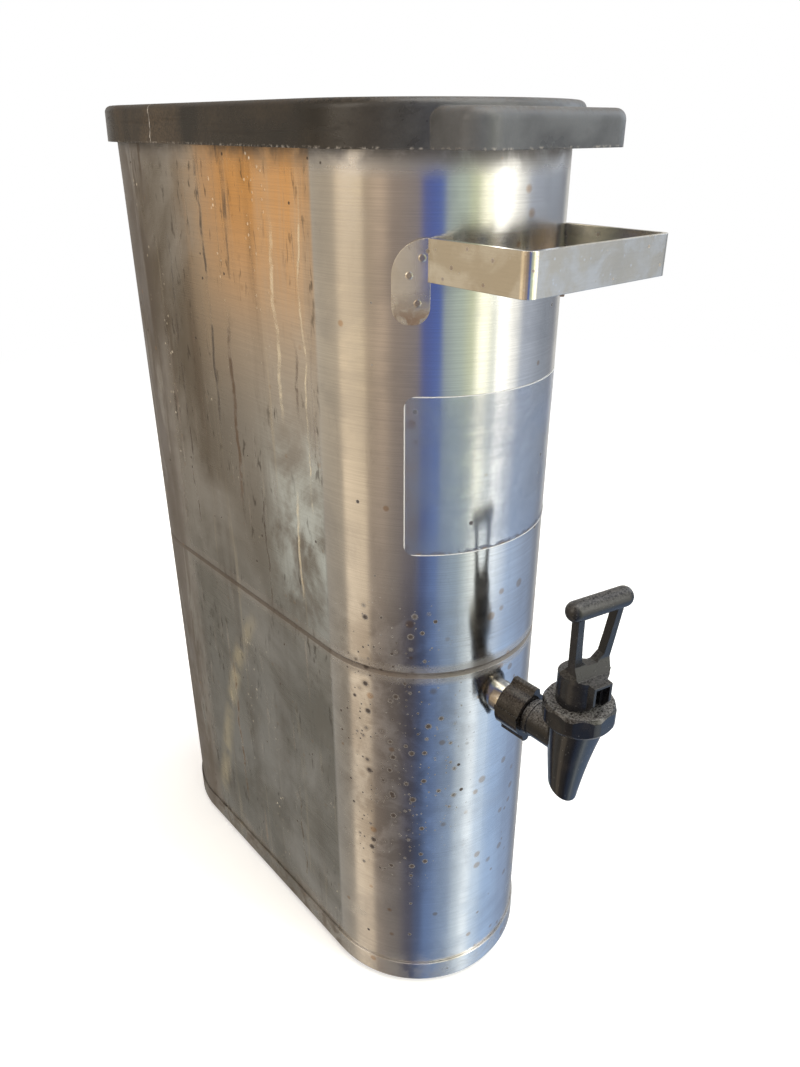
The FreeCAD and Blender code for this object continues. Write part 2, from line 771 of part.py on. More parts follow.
def make_bonnet():
    # Eight-sided cap nut: a flat-sided prism whose corners are trimmed by two cones.
    body = new_body("bonnet")
    flat = size("bonnet_flat")
    plan = sketch_on(body, "XY_Plane", "octagon", bonnet_low)
    half_side = math.tan(math.radians(22.5))
    near_corner = flat * half_side
    outline(plan, [(flat, -near_corner), (flat, near_corner), (near_corner, flat),
                   (-near_corner, flat), (-flat, near_corner), (-flat, -near_corner),
                   (-near_corner, -flat), (near_corner, -flat)])
    feature(body, "Pad", "prism", plan, Length=size("bonnet_height"))
    past = flat * 1.2
    corner = size("bonnet_corner")
    trim = sketch_on(body, "XZ_Plane", "corner_section")
    outline(trim, [(size("bonnet_rim"), bonnet_top), (past, bonnet_top), (past, bonnet_low),
                   (size("bonnet_low_rim"), bonnet_low),
                   (corner, bonnet_low + size("bonnet_low_chamfer")),
                   (corner, bonnet_top - size("bonnet_chamfer"))])
    spin(body, "Groove", "corner_trim", trim, Angle=360)
    thread = sketch_on(body, "XY_Plane", "thread_plan", bonnet_low)
    circle(thread, (0, 0), size("neck_radius") + size("running"))
    feature(body, "Pocket", "thread_bore", thread, Reversed=True,
            Length=size("bonnet_height") - size("bonnet_top_wall"))
    hole = sketch_on(body, "XY_Plane", "stem_hole_plan", bonnet_low)
    circle(hole, (0, 0), size("stem_radius") + size("running"))
    feature(body, "Pocket", "stem_hole", hole, Length=size("bonnet_height"), Reversed=True)
    place(body, 0, tap_y, 0)


def washer(label, inner, outer, low, high):
    body = new_body(label)
    section = sketch_on(body, "XZ_Plane", "section")
    outline(section, [(inner, low), (outer, low), (outer, high), (inner, high)])
    spin(body, "Revolution", "turn", section, Angle=360)
    place(body, 0, tap_y, 0)


stem = size("stem_radius")
bulb_low = seat_z + size("cup_floor") + size("running")
flange_low = seat_z + size("stem_flange_rise")
flange_top = flange_low + size("stem_flange_wall")
thrust_top = ceiling_z - size("running")
thrust_low = thrust_top - size("thrust_wall")
block_low = bonnet_top + size("handle_gap")
pin_z = block_low + size("pin_rise")
handle_turn = -size("handle_turn")


def make_stem():
    # Turned rod: a bulb for the seat cup, a collar for the spring, and an eye for the pin.
    body = new_body("stem")
    bulb = size("stem_bulb")
    bulb_top = bulb_low + size("stem_bulb_height")
    collar = size("stem_flange")
    top = pin_z + size("stem_head")
    section = sketch_on(body, "XZ_Plane", "turned_section")
    outline(section, [
        (0, bulb_low), (bulb, bulb_low), (bulb, bulb_top), (stem, bulb_top + 1.5),
        (stem, flange_low), (collar, flange_low), (collar, flange_top), (stem, flange_top),
        (stem, top - 1), (stem - 1, top), (0, top)])
    spin(body, "Revolution", "turning", section, Angle=360)
    eye = sketch_on(body, "YZ_Plane", "eye")
    circle(eye, (0, pin_z), size("pin_radius"))
    feature(body, "Pocket", "eye_hole", eye, SideType="Symmetric", Length=stem * 3)
    place(body, 0, tap_y, 0, handle_turn)


def make_seat_cup():
    # Silicone cup moulded round the stem's bulb; its nose drops into the throat.
    body = new_body("seat_cup")
    face = seat_z + size("running")
    bulb = size("stem_bulb")
    bulb_top = bulb_low + size("stem_bulb_height")
    outer = size("cup_radius")
    throat = size("throat_radius")
    nose = size("cup_nose")
    top = face + size("cup_height")
    section = sketch_on(body, "XZ_Plane", "cup_section")
    outline(section, [
        (0, face - nose), (throat - nose, face - nose), (throat - 0.4, face), (outer, face),
        (outer, face + 2), (bulb + 1.5, top - 1.5), (bulb, top), (stem, top),
        (stem, bulb_top + 1.5), (bulb, bulb_top), (bulb, bulb_low), (0, bulb_low)])
    spin(body, "Revolution", "cup", section, Angle=360)
    place(body, 0, tap_y, 0, handle_turn)


def make_tap_spring():
    # Open coil between the stem's collar and the thrust washer.
    body = new_body("tap_spring")
    wire = size("wire_radius")
    seat = flange_top + wire
    rise = thrust_low - wire - seat
    section = sketch_on(body, "XZ_Plane", "wire_section")
    circle(section, (size("coil_radius"), seat), wire)
    spin(body, "AdditiveHelix", "coil", section, Mode="height-turns-angle",
         Height=rise, Turns=size("coil_turns"))
    place(body, 0, tap_y, 0, handle_turn)


def make_handle_pin():
    body = new_body("handle_pin")
    section = sketch_on(body, "YZ_Plane", "pin_section")
    circle(section, (0, pin_z), size("pin_radius"))
    feature(body, "Pad", "pin", section, SideType="Symmetric", Length=size("pin_length"))
    place(body, 0, tap_y, 0, handle_turn)


def make_tap_handle():
    # Fork handle: a round block with a flat nose, two splayed legs and a bar across them.
    # The block's front foot is the cam that lifts the stem as the handle tips forward.
    body = new_body("tap_handle")
    block = size("handle_radius")
    rear_top = block_low + size("block_rear_height")
    block_top = rear_top + size("block_rise")
    fork_floor = block_low + size("fork_floor")
    foot_z = block_low + size("leg_foot_height")
    knee_z = block_low + size("leg_knee_height")
    bar_y = -size("bar_forward")
    bar_z = block_low + size("bar_rise")
    bar = size("bar_radius")
    depth = size("leg_half_depth")
    leg_y = -size("leg_foot_y")
    leg_top = bar_z - bar * 0.5
    nose = -size("nose_reach")
    nose_top = block_low + size("nose_top_height")
    nose_low = block_low + size("nose_low_height")
    side = sketch_on(body, "YZ_Plane", "side_view")
    outline(side, [
        (block, block_low), (block, rear_top), (depth * 2, block_top),
        (leg_y + depth, fork_floor - 1), (bar_y + depth, leg_top), (bar_y - depth, leg_top),
        (leg_y - depth, fork_floor + 1), (leg_y - depth * 2, nose_top + 1), (-block, nose_top),
        (-block, block_low)])
    feature(body, "Pad", "blank", side, SideType="Symmetric", Length=block * 2.6)
    rounded(body, "rear_sweep", depth,
            lambda edge, mid: near(mid.y, depth * 2) and near(mid.z, block_top))
    # The block is turned round below the fork.
    past = block * 1.8
    barrel = sketch_on(body, "XZ_Plane", "barrel_section")
    outline(barrel, [(block, block_low - 1), (past, block_low - 1), (past, foot_z + 2),
                     (block + 1.5, foot_z + 2), (block, block_top - 1)])
    spin(body, "Groove", "barrel", barrel, Angle=360)
    # Front view: the fork's splayed outer sides and the opening between its legs.
    half = size("bar_half_length")
    outer = sketch_on(body, "XZ_Plane", "fork_sides")
    for hand in (1, -1):
        outline(outer, [
            (past * hand, block_top), ((block + 1) * hand, block_top),
            (size("leg_foot_out") * hand, foot_z), (size("leg_knee_out") * hand, knee_z),
            (size("leg_top_out") * hand, leg_top + 1), (past * hand, leg_top + 1)])
    feature(body, "Pocket", "fork_waist", outer, SideType="Symmetric", Length=block * 4)
    opening = sketch_on(body, "XZ_Plane", "fork_opening")
    floor_half = size("fork_floor_half")
    shoulder = size("leg_knee_in") - 1.5
    shoulder_z = fork_floor + 4
    outline(opening, [
        (-floor_half, fork_floor), (floor_half, fork_floor), (shoulder, shoulder_z),
        (size("leg_knee_in"), knee_z), (size("leg_top_in"), leg_top + 1),
        (-size("leg_top_in"), leg_top + 1), (-size("leg_knee_in"), knee_z),
        (-shoulder, shoulder_z)])
    feature(body, "Pocket", "fork_gap", opening, SideType="Symmetric", Length=block * 4)
    grip = sketch_on(body, "YZ_Plane", "bar_section")
    circle(grip, (bar_y, bar_z), bar)
    feature(body, "Pad", "bar", grip, SideType="Symmetric", Length=half * 2)
    rounded(body, "bar_ends", bar * 0.96,
            lambda edge, mid: near(abs(mid.x), half))
    front = sketch_on(body, "YZ_Plane", "nose_view")
    outline(front, [(0, block_low), (0, nose_top), (nose, nose_top), (nose, block_low)])
    feature(body, "Pad", "nose", front, SideType="Symmetric", Length=size("nose_half_width") * 2)
    cam = sketch_on(body, "YZ_Plane", "cam_view")
    cam_y = -size("cam_mid_y")
    outline(cam, [(-size("cam_flat"), block_low), (cam_y, block_low + size("cam_mid_height")),
                  (nose, nose_low), (nose - 1, nose_low), (nose - 1, block_low - 1),
                  (-size("cam_flat"), block_low - 1)])
    feature(body, "Pocket", "cam", cam, SideType="Symmetric", Length=block * 4)
    # Slot for the stem, open below and in front, and the cross hole for its pin.
    slot = sketch_on(body, "YZ_Plane", "slot_view")
    head = size("slot_round")
    window_top = block_low + size("window_top_height")
    window_back = nose + size("window_depth")
    outline(slot, [
        (head, block_low - 1), (head, pin_z + 1), (head - 2, pin_z + head),
        (-head, pin_z + head), (window_back, window_top), (nose - 1, window_top),
        (nose - 1, block_low - 1)])
    feature(body, "Pocket", "stem_slot", slot, SideType="Symmetric", Length=size("slot_width"))
    window = sketch_on(body, "YZ_Plane", "window_view")
    outline(window, [(window_back, block_low - 1), (window_back, window_top),
                     (nose - 1, window_top), (nose - 1, block_low - 1)])
    feature(body, "Pocket", "window", window, SideType="Symmetric",
            Length=size("window_half_width") * 2)
    hole = sketch_on(body, "YZ_Plane", "pin_hole")
    circle(hole, (0, pin_z), size("pin_radius") + size("running"))
    feature(body, "Pocket", "pin_bore", hole, SideType="Symmetric",
            Length=size("pin_length") + size("running") * 2)
    place(body, 0, tap_y, 0, handle_turn)


for make in (make_body_shell, make_base_band, make_feet, make_floor_pan, make_lid,
             make_front_handle, make_label_film, make_outlet_tube, make_tube_thread,
             make_seal_washer, make_retaining_ring, make_wing_nut, make_tap_body, make_bonnet,
             make_stem, make_seat_cup, make_tap_spring, make_handle_pin, make_tap_handle):
    make()
washer("bonnet_seal", size("chamber_radius"), size("neck_radius") - 0.4, neck_top, ceiling_z)
washer("thrust_washer", stem + 0.3, size("stem_flange"), thrust_low, thrust_top)
doc.recompute()

for item in doc.Objects:
    if "Invalid" in item.State or "Error" in item.State:
        raise RuntimeError(f"{item.Label} failed: {item.State}")
for body in PARTS:
    if body.Shape.isNull() or not body.Shape.isValid():
        raise RuntimeError(f"{body.Label} has no valid shape")

os.makedirs("parts", exist_ok=True)
for body in PARTS:
    body.Shape.exportStep(f"parts/{body.Label}.step")
    print(body.Label, len(body.Shape.Solids), round(body.Shape.Volume))
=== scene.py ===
import math

import bpy
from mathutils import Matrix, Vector


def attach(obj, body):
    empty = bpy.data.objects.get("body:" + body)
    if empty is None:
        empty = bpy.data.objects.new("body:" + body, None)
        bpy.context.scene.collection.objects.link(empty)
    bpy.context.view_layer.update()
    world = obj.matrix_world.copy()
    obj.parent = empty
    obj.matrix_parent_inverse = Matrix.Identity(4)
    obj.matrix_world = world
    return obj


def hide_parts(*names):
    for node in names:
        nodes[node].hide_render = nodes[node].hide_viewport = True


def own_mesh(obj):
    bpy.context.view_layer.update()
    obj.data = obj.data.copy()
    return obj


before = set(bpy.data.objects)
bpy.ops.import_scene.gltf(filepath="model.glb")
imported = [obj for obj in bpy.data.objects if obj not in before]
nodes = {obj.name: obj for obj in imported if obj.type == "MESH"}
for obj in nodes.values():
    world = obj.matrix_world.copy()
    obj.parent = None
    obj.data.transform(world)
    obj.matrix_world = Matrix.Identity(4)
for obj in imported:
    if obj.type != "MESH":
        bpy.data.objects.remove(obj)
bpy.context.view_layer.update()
print("frame loaded,", len(nodes), "CAD nodes")


# node tools

# the oval tank, in metres: how far its middle stands behind the origin, and how far the
# centres of its round ends are from that middle
tank = {"middle": 0.03415, "endCentre": 0.092}


def feed(tree, socket, value):
    if isinstance(value, bpy.types.NodeSocket):
        tree.links.new(value, socket)
    else:
        socket.default_value = value


def put(tree, kind, inputs=None, **settings):
    node = tree.nodes.new("ShaderNode" + kind)
    for name, value in settings.items():
        setattr(node, name, value)
    for name, value in (inputs or {}).items():
        feed(tree, node.inputs[name], value)
    return node


def calc(tree, operation, a, b=0.0):
    return put(tree, "Math", {0: a, 1: b}, operation=operation).outputs[0]


def chain(tree, operation, values):
    result = values[0]
    for value in values[1:]:
        result = calc(tree, operation, result, value)
    return result


def times(tree, *values):
    return chain(tree, "MULTIPLY", values)


def plus(tree, *values):
    return chain(tree, "ADD", values)


def most(tree, *values):
    return chain(tree, "MAXIMUM", values)


def minus(tree, a, b):
    return calc(tree, "SUBTRACT", a, b)


def inverse(tree, mask):
    return minus(tree, 1.0, mask)


def apart(tree, a, b):
    return calc(tree, "ABSOLUTE", minus(tree, a, b))


def fit(tree, value, low, high, outLow=0.0, outHigh=1.0):
    inputs = {"Value": value, "From Min": low, "From Max": high,
              "To Min": outLow, "To Max": outHigh}
    return put(tree, "MapRange", inputs, interpolation_type="SMOOTHSTEP").outputs["Result"]


def fall(tree, value, low, high):
    # 1 below low, 0 above high
    return inverse(tree, fit(tree, value, low, high))


def band(tree, value, low, high, blur):
    # 1 inside low..high, fading over blur at both ends
    start = fit(tree, value, low - blur, low + blur)
    return times(tree, start, fall(tree, value, high - blur, high + blur))


def mixColours(tree, factor, a, b):
    return put(tree, "Mix", {0: factor, 6: a, 7: b}, data_type="RGBA").outputs[2]


def mixValues(tree, factor, a, b):
    return put(tree, "Mix", {0: factor, 2: a, 3: b}, data_type="FLOAT").outputs[0]


def atLeast(tree, mask, least):
    return mixValues(tree, mask, least, 1.0)


def lay(tree, tone, ink, *masks):
    # one colour over another, where all the masks are
    return mixColours(tree, times(tree, *masks), tone, ink)


def multiplyVector(tree, vector, scale):
    return put(tree, "VectorMath", {0: vector, 1: scale}, operation="MULTIPLY").outputs[0]


def addVector(tree, vector, shift):
    return put(tree, "VectorMath", {0: vector, 1: shift}, operation="ADD").outputs[0]


def objectPlace(tree):
    # measured from the tank's middle and the floor
    return addVector(tree, put(tree, "TexCoord").outputs["Object"], (0.0, -tank["middle"], 0.0))


def noise(tree, place, scale, detail, roughness=0.5, distortion=0.0):
    inputs = {"Vector": place, "Scale": scale, "Detail": detail, "Roughness": roughness,
              "Distortion": distortion}
    return put(tree, "TexNoise", inputs).outputs["Fac"]


def wander(tree, wave, amount):
    # turns a noise round one half into a shift to both sides
    return times(tree, minus(tree, wave, 0.5), amount)


def colour(red, green, blue):
    return (red, green, blue, 1.0)


# shared effects

def newGroup(name, inputs, outputs):
    tree = bpy.data.node_groups.new(name, "ShaderNodeTree")
    for label, start in inputs.items():
        socket = tree.interface.new_socket(label, in_out="INPUT", socket_type="NodeSocketFloat")
        socket.default_value = start
    for label in outputs:
        tree.interface.new_socket(label, in_out="OUTPUT", socket_type="NodeSocketFloat")
    return tree, tree.nodes.new("NodeGroupInput"), tree.nodes.new("NodeGroupOutput")


def seeded(tree, seed):
    spread = put(tree, "CombineXYZ", {0: seed, 1: times(tree, seed, 1.7), 2: 0.0})
    return addVector(tree, objectPlace(tree), spread.outputs[0])


def buildGrain():
    # fine brushed lines that run level round the wall
    tree, given, out = newGroup("brushedGrain", {"Lines": 3000.0, "Along": 40.0}, ["Grain"])
    stretch = put(tree, "CombineXYZ", {0: given.outputs["Along"], 1: given.outputs["Along"],
                                       2: given.outputs["Lines"]})
    place = multiplyVector(tree, objectPlace(tree), stretch.outputs[0])
    feed(tree, out.inputs["Grain"], noise(tree, place, 1.0, 3.0, 0.65))
    return tree


def buildDrips():
    # marks that ran down the wall
    tree, given, out = newGroup("drips", {"Density": 60.0, "Fall": 3.0, "From": 0.55,
                                          "To": 0.7, "Seed": 0.0}, ["Mask"])
    stretch = put(tree, "CombineXYZ", {0: given.outputs["Density"], 1: given.outputs["Density"],
                                       2: given.outputs["Fall"]})
    place = multiplyVector(tree, seeded(tree, given.outputs["Seed"]), stretch.outputs[0])
    runs = noise(tree, place, 1.0, 4.0, 0.6, 0.3)
    feed(tree, out.inputs["Mask"],
         fit(tree, runs, given.outputs["From"], given.outputs["To"]))
    return tree


def buildPatches():
    # clouds with a soft edge
    tree, given, out = newGroup("patches", {"Scale": 20.0, "From": 0.45, "To": 0.65,
                                            "Seed": 0.0}, ["Mask"])
    clouds = noise(tree, seeded(tree, given.outputs["Seed"]), given.outputs["Scale"],
                   5.0, 0.6, 0.4)
    feed(tree, out.inputs["Mask"],
         fit(tree, clouds, given.outputs["From"], given.outputs["To"]))
    return tree


def buildSpots():
    # round splashes of many sizes: Share is how many cells hold one, Core how wide the full
    # tone reaches before the edge fades
    tree, given, out = newGroup("spots", {"Scale": 150.0, "Size": 0.3, "Share": 0.4,
                                          "Core": 0.5, "Seed": 0.0}, ["Mask"])
    cells = put(tree, "TexVoronoi", {"Vector": seeded(tree, given.outputs["Seed"]),
                                     "Scale": given.outputs["Scale"], "Randomness": 1.0})
    parts = put(tree, "SeparateColor", {0: cells.outputs["Color"]})
    reach = times(tree, calc(tree, "SQRT", parts.outputs[0]), given.outputs["Size"])
    inner = times(tree, reach, given.outputs["Core"])
    edge = fall(tree, cells.outputs["Distance"], inner, reach)
    kept = calc(tree, "LESS_THAN", parts.outputs[1], given.outputs["Share"])
    feed(tree, out.inputs["Mask"], times(tree, edge, kept))
    return tree


def buildDust():
    # dust that lies on what faces up
    tree, given, out = newGroup("settledDust", {"Amount": 0.6, "Scale": 300.0, "Seed": 0.0},
                                ["Mask"])
    facing = put(tree, "SeparateXYZ", {0: put(tree, "NewGeometry").outputs["Normal"]})
    up = fit(tree, facing.outputs["Z"], 0.25, 0.95)
    powder = noise(tree, seeded(tree, given.outputs["Seed"]), given.outputs["Scale"], 6.0, 0.75)
    grains = fit(tree, powder, 0.38, 0.62)
    feed(tree, out.inputs["Mask"], times(tree, up, grains, given.outputs["Amount"]))
    return tree


def buildEdges():
    # where corners rub bright or pale
    tree, given, out = newGroup("rubbedEdges", {"Width": 0.0008, "Amount": 1.0}, ["Mask"])
    soft = softCorner(tree, given.outputs["Width"])
    hard = put(tree, "NewGeometry").outputs["Normal"]
    alike = put(tree, "VectorMath", {0: soft, 1: hard}, operation="DOT_PRODUCT")
    turned = fit(tree, inverse(tree, alike.outputs["Value"]), 0.01, 0.16)
    broken = fit(tree, noise(tree, objectPlace(tree), 260.0, 4.0), 0.35, 0.6)
    feed(tree, out.inputs["Mask"], times(tree, turned, broken, given.outputs["Amount"]))
    return tree


def softCorner(tree, radius):
    return put(tree, "Bevel", {"Radius": radius}, samples=4).outputs[0]


effects = {"grain": buildGrain(), "drips": buildDrips(), "patches": buildPatches(),
           "spots": buildSpots(), "dust": buildDust(), "edges": buildEdges()}
zoneKinds = {"rise": fit, "fall": fall, "band": band}


def effect(tree, kind, **values):
    node = tree.nodes.new("ShaderNodeGroup")
    node.node_tree = effects[kind]
    for name, value in values.items():
        feed(tree, node.inputs[name], value)
    return node.outputs[0]


def marksFrom(tree, rows):
    # rows name a shared effect and its values
    return {name: effect(tree, kind, **values) for name, (kind, values) in rows.items()}


def zonesFrom(tree, rows, ways):
    # rows name a kind of zone, the way it is measured and its ends in metres
    return {name: zoneKinds[kind](tree, ways[way], *ends)
            for name, (kind, way, *ends) in rows.items()}


print("shared effects built,", len(effects))


# materials

def dress(tree, surface, **values):
    for label, value in values.items():
        feed(tree, surface.inputs[label.replace("_", " ")], value)


def newMaterial(name, **values):
    material = bpy.data.materials.new(name)
    material.use_nodes = True
    tree = material.node_tree
    tree.nodes.clear()
    surface = put(tree, "BsdfPrincipled")
    dress(tree, surface, **values)
    put(tree, "OutputMaterial", {"Surface": surface.outputs[0]})
    return material, tree, surface


def bump(tree, height, distance, normal=None):
    inputs = {"Height": height, "Distance": distance, "Strength": 1.0}
    if normal is not None:
        inputs["Normal"] = normal
    return put(tree, "Bump", inputs).outputs[0]


def roundTangent(tree):
    return put(tree, "Tangent", direction_type="RADIAL", axis="Z").outputs[0]


# the tank's wall and base band

wallLook = {
    "tones": {
        "clean": colour(0.66, 0.645, 0.63),
        # tarnish and painted shade for the flat sides and rear end
        "tarnishAndShade": colour(0.185, 0.150, 0.112),
        "lowTarnishAndShade": colour(0.285, 0.280, 0.265),
        "cool": colour(0.90, 0.98, 1.0),
        "soot": colour(0.075, 0.058, 0.045),
        # warm and peach: painted warm reflection
        "warm": colour(0.95, 0.50, 0.17),
        "peach": colour(0.90, 0.66, 0.44),
        "brown": colour(0.11, 0.068, 0.038),
        "stain": colour(0.27, 0.27, 0.29),
        "rust": colour(0.032, 0.018, 0.012),
        "cream": colour(0.95, 0.84, 0.62),
        "amber": colour(0.36, 0.20, 0.075),
        "mineral": colour(0.78, 0.70, 0.56),
        "chalk": colour(0.62, 0.66, 0.70),
        "grainDark": colour(0.2, 0.19, 0.18),
    },
    "marks": {
        "grain": ("grain", {"Lines": 2400.0, "Along": 22.0}),
        "clouds": ("patches", {"Scale": 9.0, "From": 0.36, "To": 0.62, "Seed": 3.0}),
        "rubbed": ("patches", {"Scale": 26.0, "From": 0.36, "To": 0.60, "Seed": 51.0}),
        # breaks up the painted reflection arc
        "paintedArcPatches": ("patches", {"Scale": 38.0, "From": 0.30, "To": 0.62, "Seed": 57.0}),
        "groups": ("patches", {"Scale": 13.0, "From": 0.42, "To": 0.58, "Seed": 61.0}),
        "broken": ("patches", {"Scale": 75.0, "From": 0.36, "To": 0.56, "Seed": 71.0}),
        "rimSoot": ("patches", {"Scale": 45.0, "From": 0.3, "To": 0.6, "Seed": 6.0}),
        "footSoot": ("patches", {"Scale": 60.0, "From": 0.36, "To": 0.62, "Seed": 11.0}),
        "spotGaps": ("patches", {"Scale": 260.0, "From": 0.20, "To": 0.40, "Seed": 31.0}),
        "haloes": ("patches", {"Scale": 48.0, "From": 0.38, "To": 0.60, "Seed": 27.0}),
        "watered": ("patches", {"Scale": 15.0, "From": 0.44, "To": 0.64, "Seed": 81.0}),
        "wash": ("patches", {"Scale": 34.0, "From": 0.52, "To": 0.64, "Seed": 41.0}),
        "haze": ("patches", {"Scale": 30.0, "From": 0.36, "To": 0.7, "Seed": 14.0}),
        "streaks": ("drips", {"Density": 52.0, "Fall": 5.0, "From": 0.28, "To": 0.60,
                              "Seed": 7.0}),
        "broad": ("drips", {"Density": 40.0, "Fall": 4.2, "From": 0.48, "To": 0.72,
                            "Seed": 1.0}),
        "thin": ("drips", {"Density": 170.0, "Fall": 9.0, "From": 0.58, "To": 0.70,
                           "Seed": 5.0}),
        "fleck": ("drips", {"Density": 260.0, "Fall": 70.0, "From": 0.58, "To": 0.68,
                            "Seed": 15.0}),
        "pale": ("drips", {"Density": 95.0, "Fall": 5.0, "From": 0.60, "To": 0.72,
                           "Seed": 19.0}),
        "rearDrips": ("drips", {"Density": 90.0, "Fall": 14.0, "From": 0.26, "To": 0.50,
                                "Seed": 23.0}),
        "trail": ("drips", {"Density": 44.0, "Fall": 3.2, "From": 0.56, "To": 0.62,
                            "Seed": 8.0}),
        "bigSpots": ("spots", {"Scale": 140.0, "Size": 0.44, "Share": 0.74, "Core": 0.1,
                               "Seed": 2.0}),
        "rings": ("spots", {"Scale": 140.0, "Size": 0.80, "Share": 0.74, "Core": 0.0,
                            "Seed": 2.0}),
        "smallSpots": ("spots", {"Scale": 330.0, "Size": 0.40, "Share": 0.5, "Core": 0.15,
                                 "Seed": 9.0}),
        "loneSpots": ("spots", {"Scale": 120.0, "Size": 0.20, "Share": 0.12, "Seed": 12.0}),
        "amber": ("spots", {"Scale": 95.0, "Size": 0.34, "Share": 0.20, "Seed": 35.0}),
        "beads": ("spots", {"Scale": 330.0, "Size": 0.44, "Share": 0.28, "Seed": 4.0}),
    },
    "zones": {
        "flat": ("band", "along", -0.0915, 0.0915, 0.0015),
        "front": ("fall", "along", -0.105, -0.085),
        "rear": ("rise", "along", 0.03, 0.12),
        "rearward": ("rise", "along", -0.07, 0.07),
        # rear edge: soot and painted shade
        "rearEdgeSootAndShade": ("band", "along", 0.079, 0.128, 0.010),
        "low": ("fall", "height", 0.20, 0.46),
        "upper": ("rise", "height", 0.22, 0.34),
        "underLid": ("rise", "height", 0.36, 0.55),
        "rim": ("rise", "height", 0.515, 0.529),
        "foot": ("fall", "height", 0.016, 0.034),
        "groove": ("band", "height", 0.2590, 0.2630, 0.0004),
        "grooveSides": ("band", "height", 0.2555, 0.2670, 0.002),
        "rubbedHeight": ("band", "height", 0.275, 0.385, 0.045),
        "rubbedAlong": ("fall", "along", -0.062, -0.02),
        "peachHeight": ("rise", "height", 0.37, 0.51),
        "peachAlong": ("band", "along", -0.100, 0.030, 0.024),
        "warmHeight": ("rise", "height", 0.425, 0.515),
        "warmAlong": ("band", "shifted", -0.078, 0.010, 0.022),
        "arcHeight": ("band", "height", 0.045, 0.235, 0.03),
        "thickHeight": ("band", "height", 0.105, 0.300, 0.028),
        "thickAcross": ("band", "across", -0.072, -0.042, 0.008),
        "looseHeight": ("band", "height", 0.13, 0.27, 0.04),
        "looseAcross": ("band", "across", -0.05, -0.020, 0.014),
        "washHeight": ("band", "height", 0.03, 0.09, 0.03),
    },
    # how strong each layer is where its mask is full
    "shares": {"rearward": 0.95, "rubbed": 0.9, "peach": 0.8, "paintedArcPatches": 0.75, "grime": 0.82,
               "grooveSides": 0.35, "loose": 0.5, "haloes": 0.7, "rustHaloes": 0.55,
               "watered": 0.28, "amber": 0.5, "spots": 0.92, "beads": 0.65, "wash": 0.15,
               "frontFoot": 0.25},
    # what is left of a layer where the mask that breaks it up is empty
    "least": {"dull": 0.30, "clouds": 0.35, "peach": 0.6, "warm": 0.5, "broken": 0.15,
              "rimSoot": 0.35, "smallSpots": 0.10, "amber": 0.4, "beads": 0.2},
    # drips: mark, tone, share on the round ends and on the flat sides, least of other masks
    "drips": (("broad", "brown", (0.06, 0.42), {"groups": 0.4}),
              ("thin", "brown", (0.08, 0.9), {"groups": 0.12, "underLid": 0.5}),
              ("fleck", "soot", (0.06, 0.7), {"groups": 0.1}),
              ("pale", "mineral", (0.04, 0.3), {})),
    # single runs down the sides: tone, place along the side, low end, high end, width
    "runs": (("cream", -0.0800, 0.350, 0.505, 0.0011), ("cream", -0.0560, 0.400, 0.490, 0.0022),
             ("cream", -0.0660, 0.290, 0.350, 0.0016), ("soot", 0.0130, 0.370, 0.520, 0.0020),
             ("brown", -0.0060, 0.330, 0.440, 0.0030), ("soot", -0.0300, 0.262, 0.345, 0.0011),
             ("brown", -0.0720, 0.405, 0.430, 0.0016), ("soot", 0.0560, 0.290, 0.480, 0.0016),
             ("brown", 0.0300, 0.060, 0.190, 0.0022), ("soot", -0.0480, 0.040, 0.120, 0.0012)),
    "runShares": {"cream": 0.55, "soot": 0.9, "brown": 0.9},
    "runCore": 0.25,
    "runFade": 0.012,
    "runSway": 0.014,
    "runWave": (0.0, 4.0, 26.0),
    "warmSway": 0.02,
    # the painted reflection's arc falls from its top like a thrown ball, and is as wide as its
    # edge
    "arc": {"top": 0.262, "drop": 0.21, "reach": 0.103, "start": -0.036, "edge": (0.001, 0.011)},
    "grainShade": (0.3, 0.7, 0.0, 0.16),
    "bigSpotsIn": (0.1, 0.7),
    "spotEdge": (0.05, 0.85),
    # how much of each layer hides the metal
    "solid": {"grime": 0.75, "thin": 0.6, "dried": 0.7},
    "roughness": 0.135,
    "rougher": {"haze": 0.05, "dull": 0.14, "wash": 0.10, "watered": 0.06},
    "grainRoughness": (0.2, 0.8, -0.03, 0.03),
    "solidRoughness": 0.6,
    "corner": 0.0006,
    "dentScale": 8.0,
    "dentDepth": 0.0009,
    "grainDepth": 0.000012,
    "beadDepth": 0.00012,
}


def runMask(tree, along, height, sway, place, low, high, width):
    # one run of dried drink that wanders and thins towards its ends
    away = apart(tree, along, plus(tree, place, sway))
    core = fall(tree, away, width * wallLook["runCore"], width)
    return times(tree, core, band(tree, height, low, high, wallLook["runFade"]))


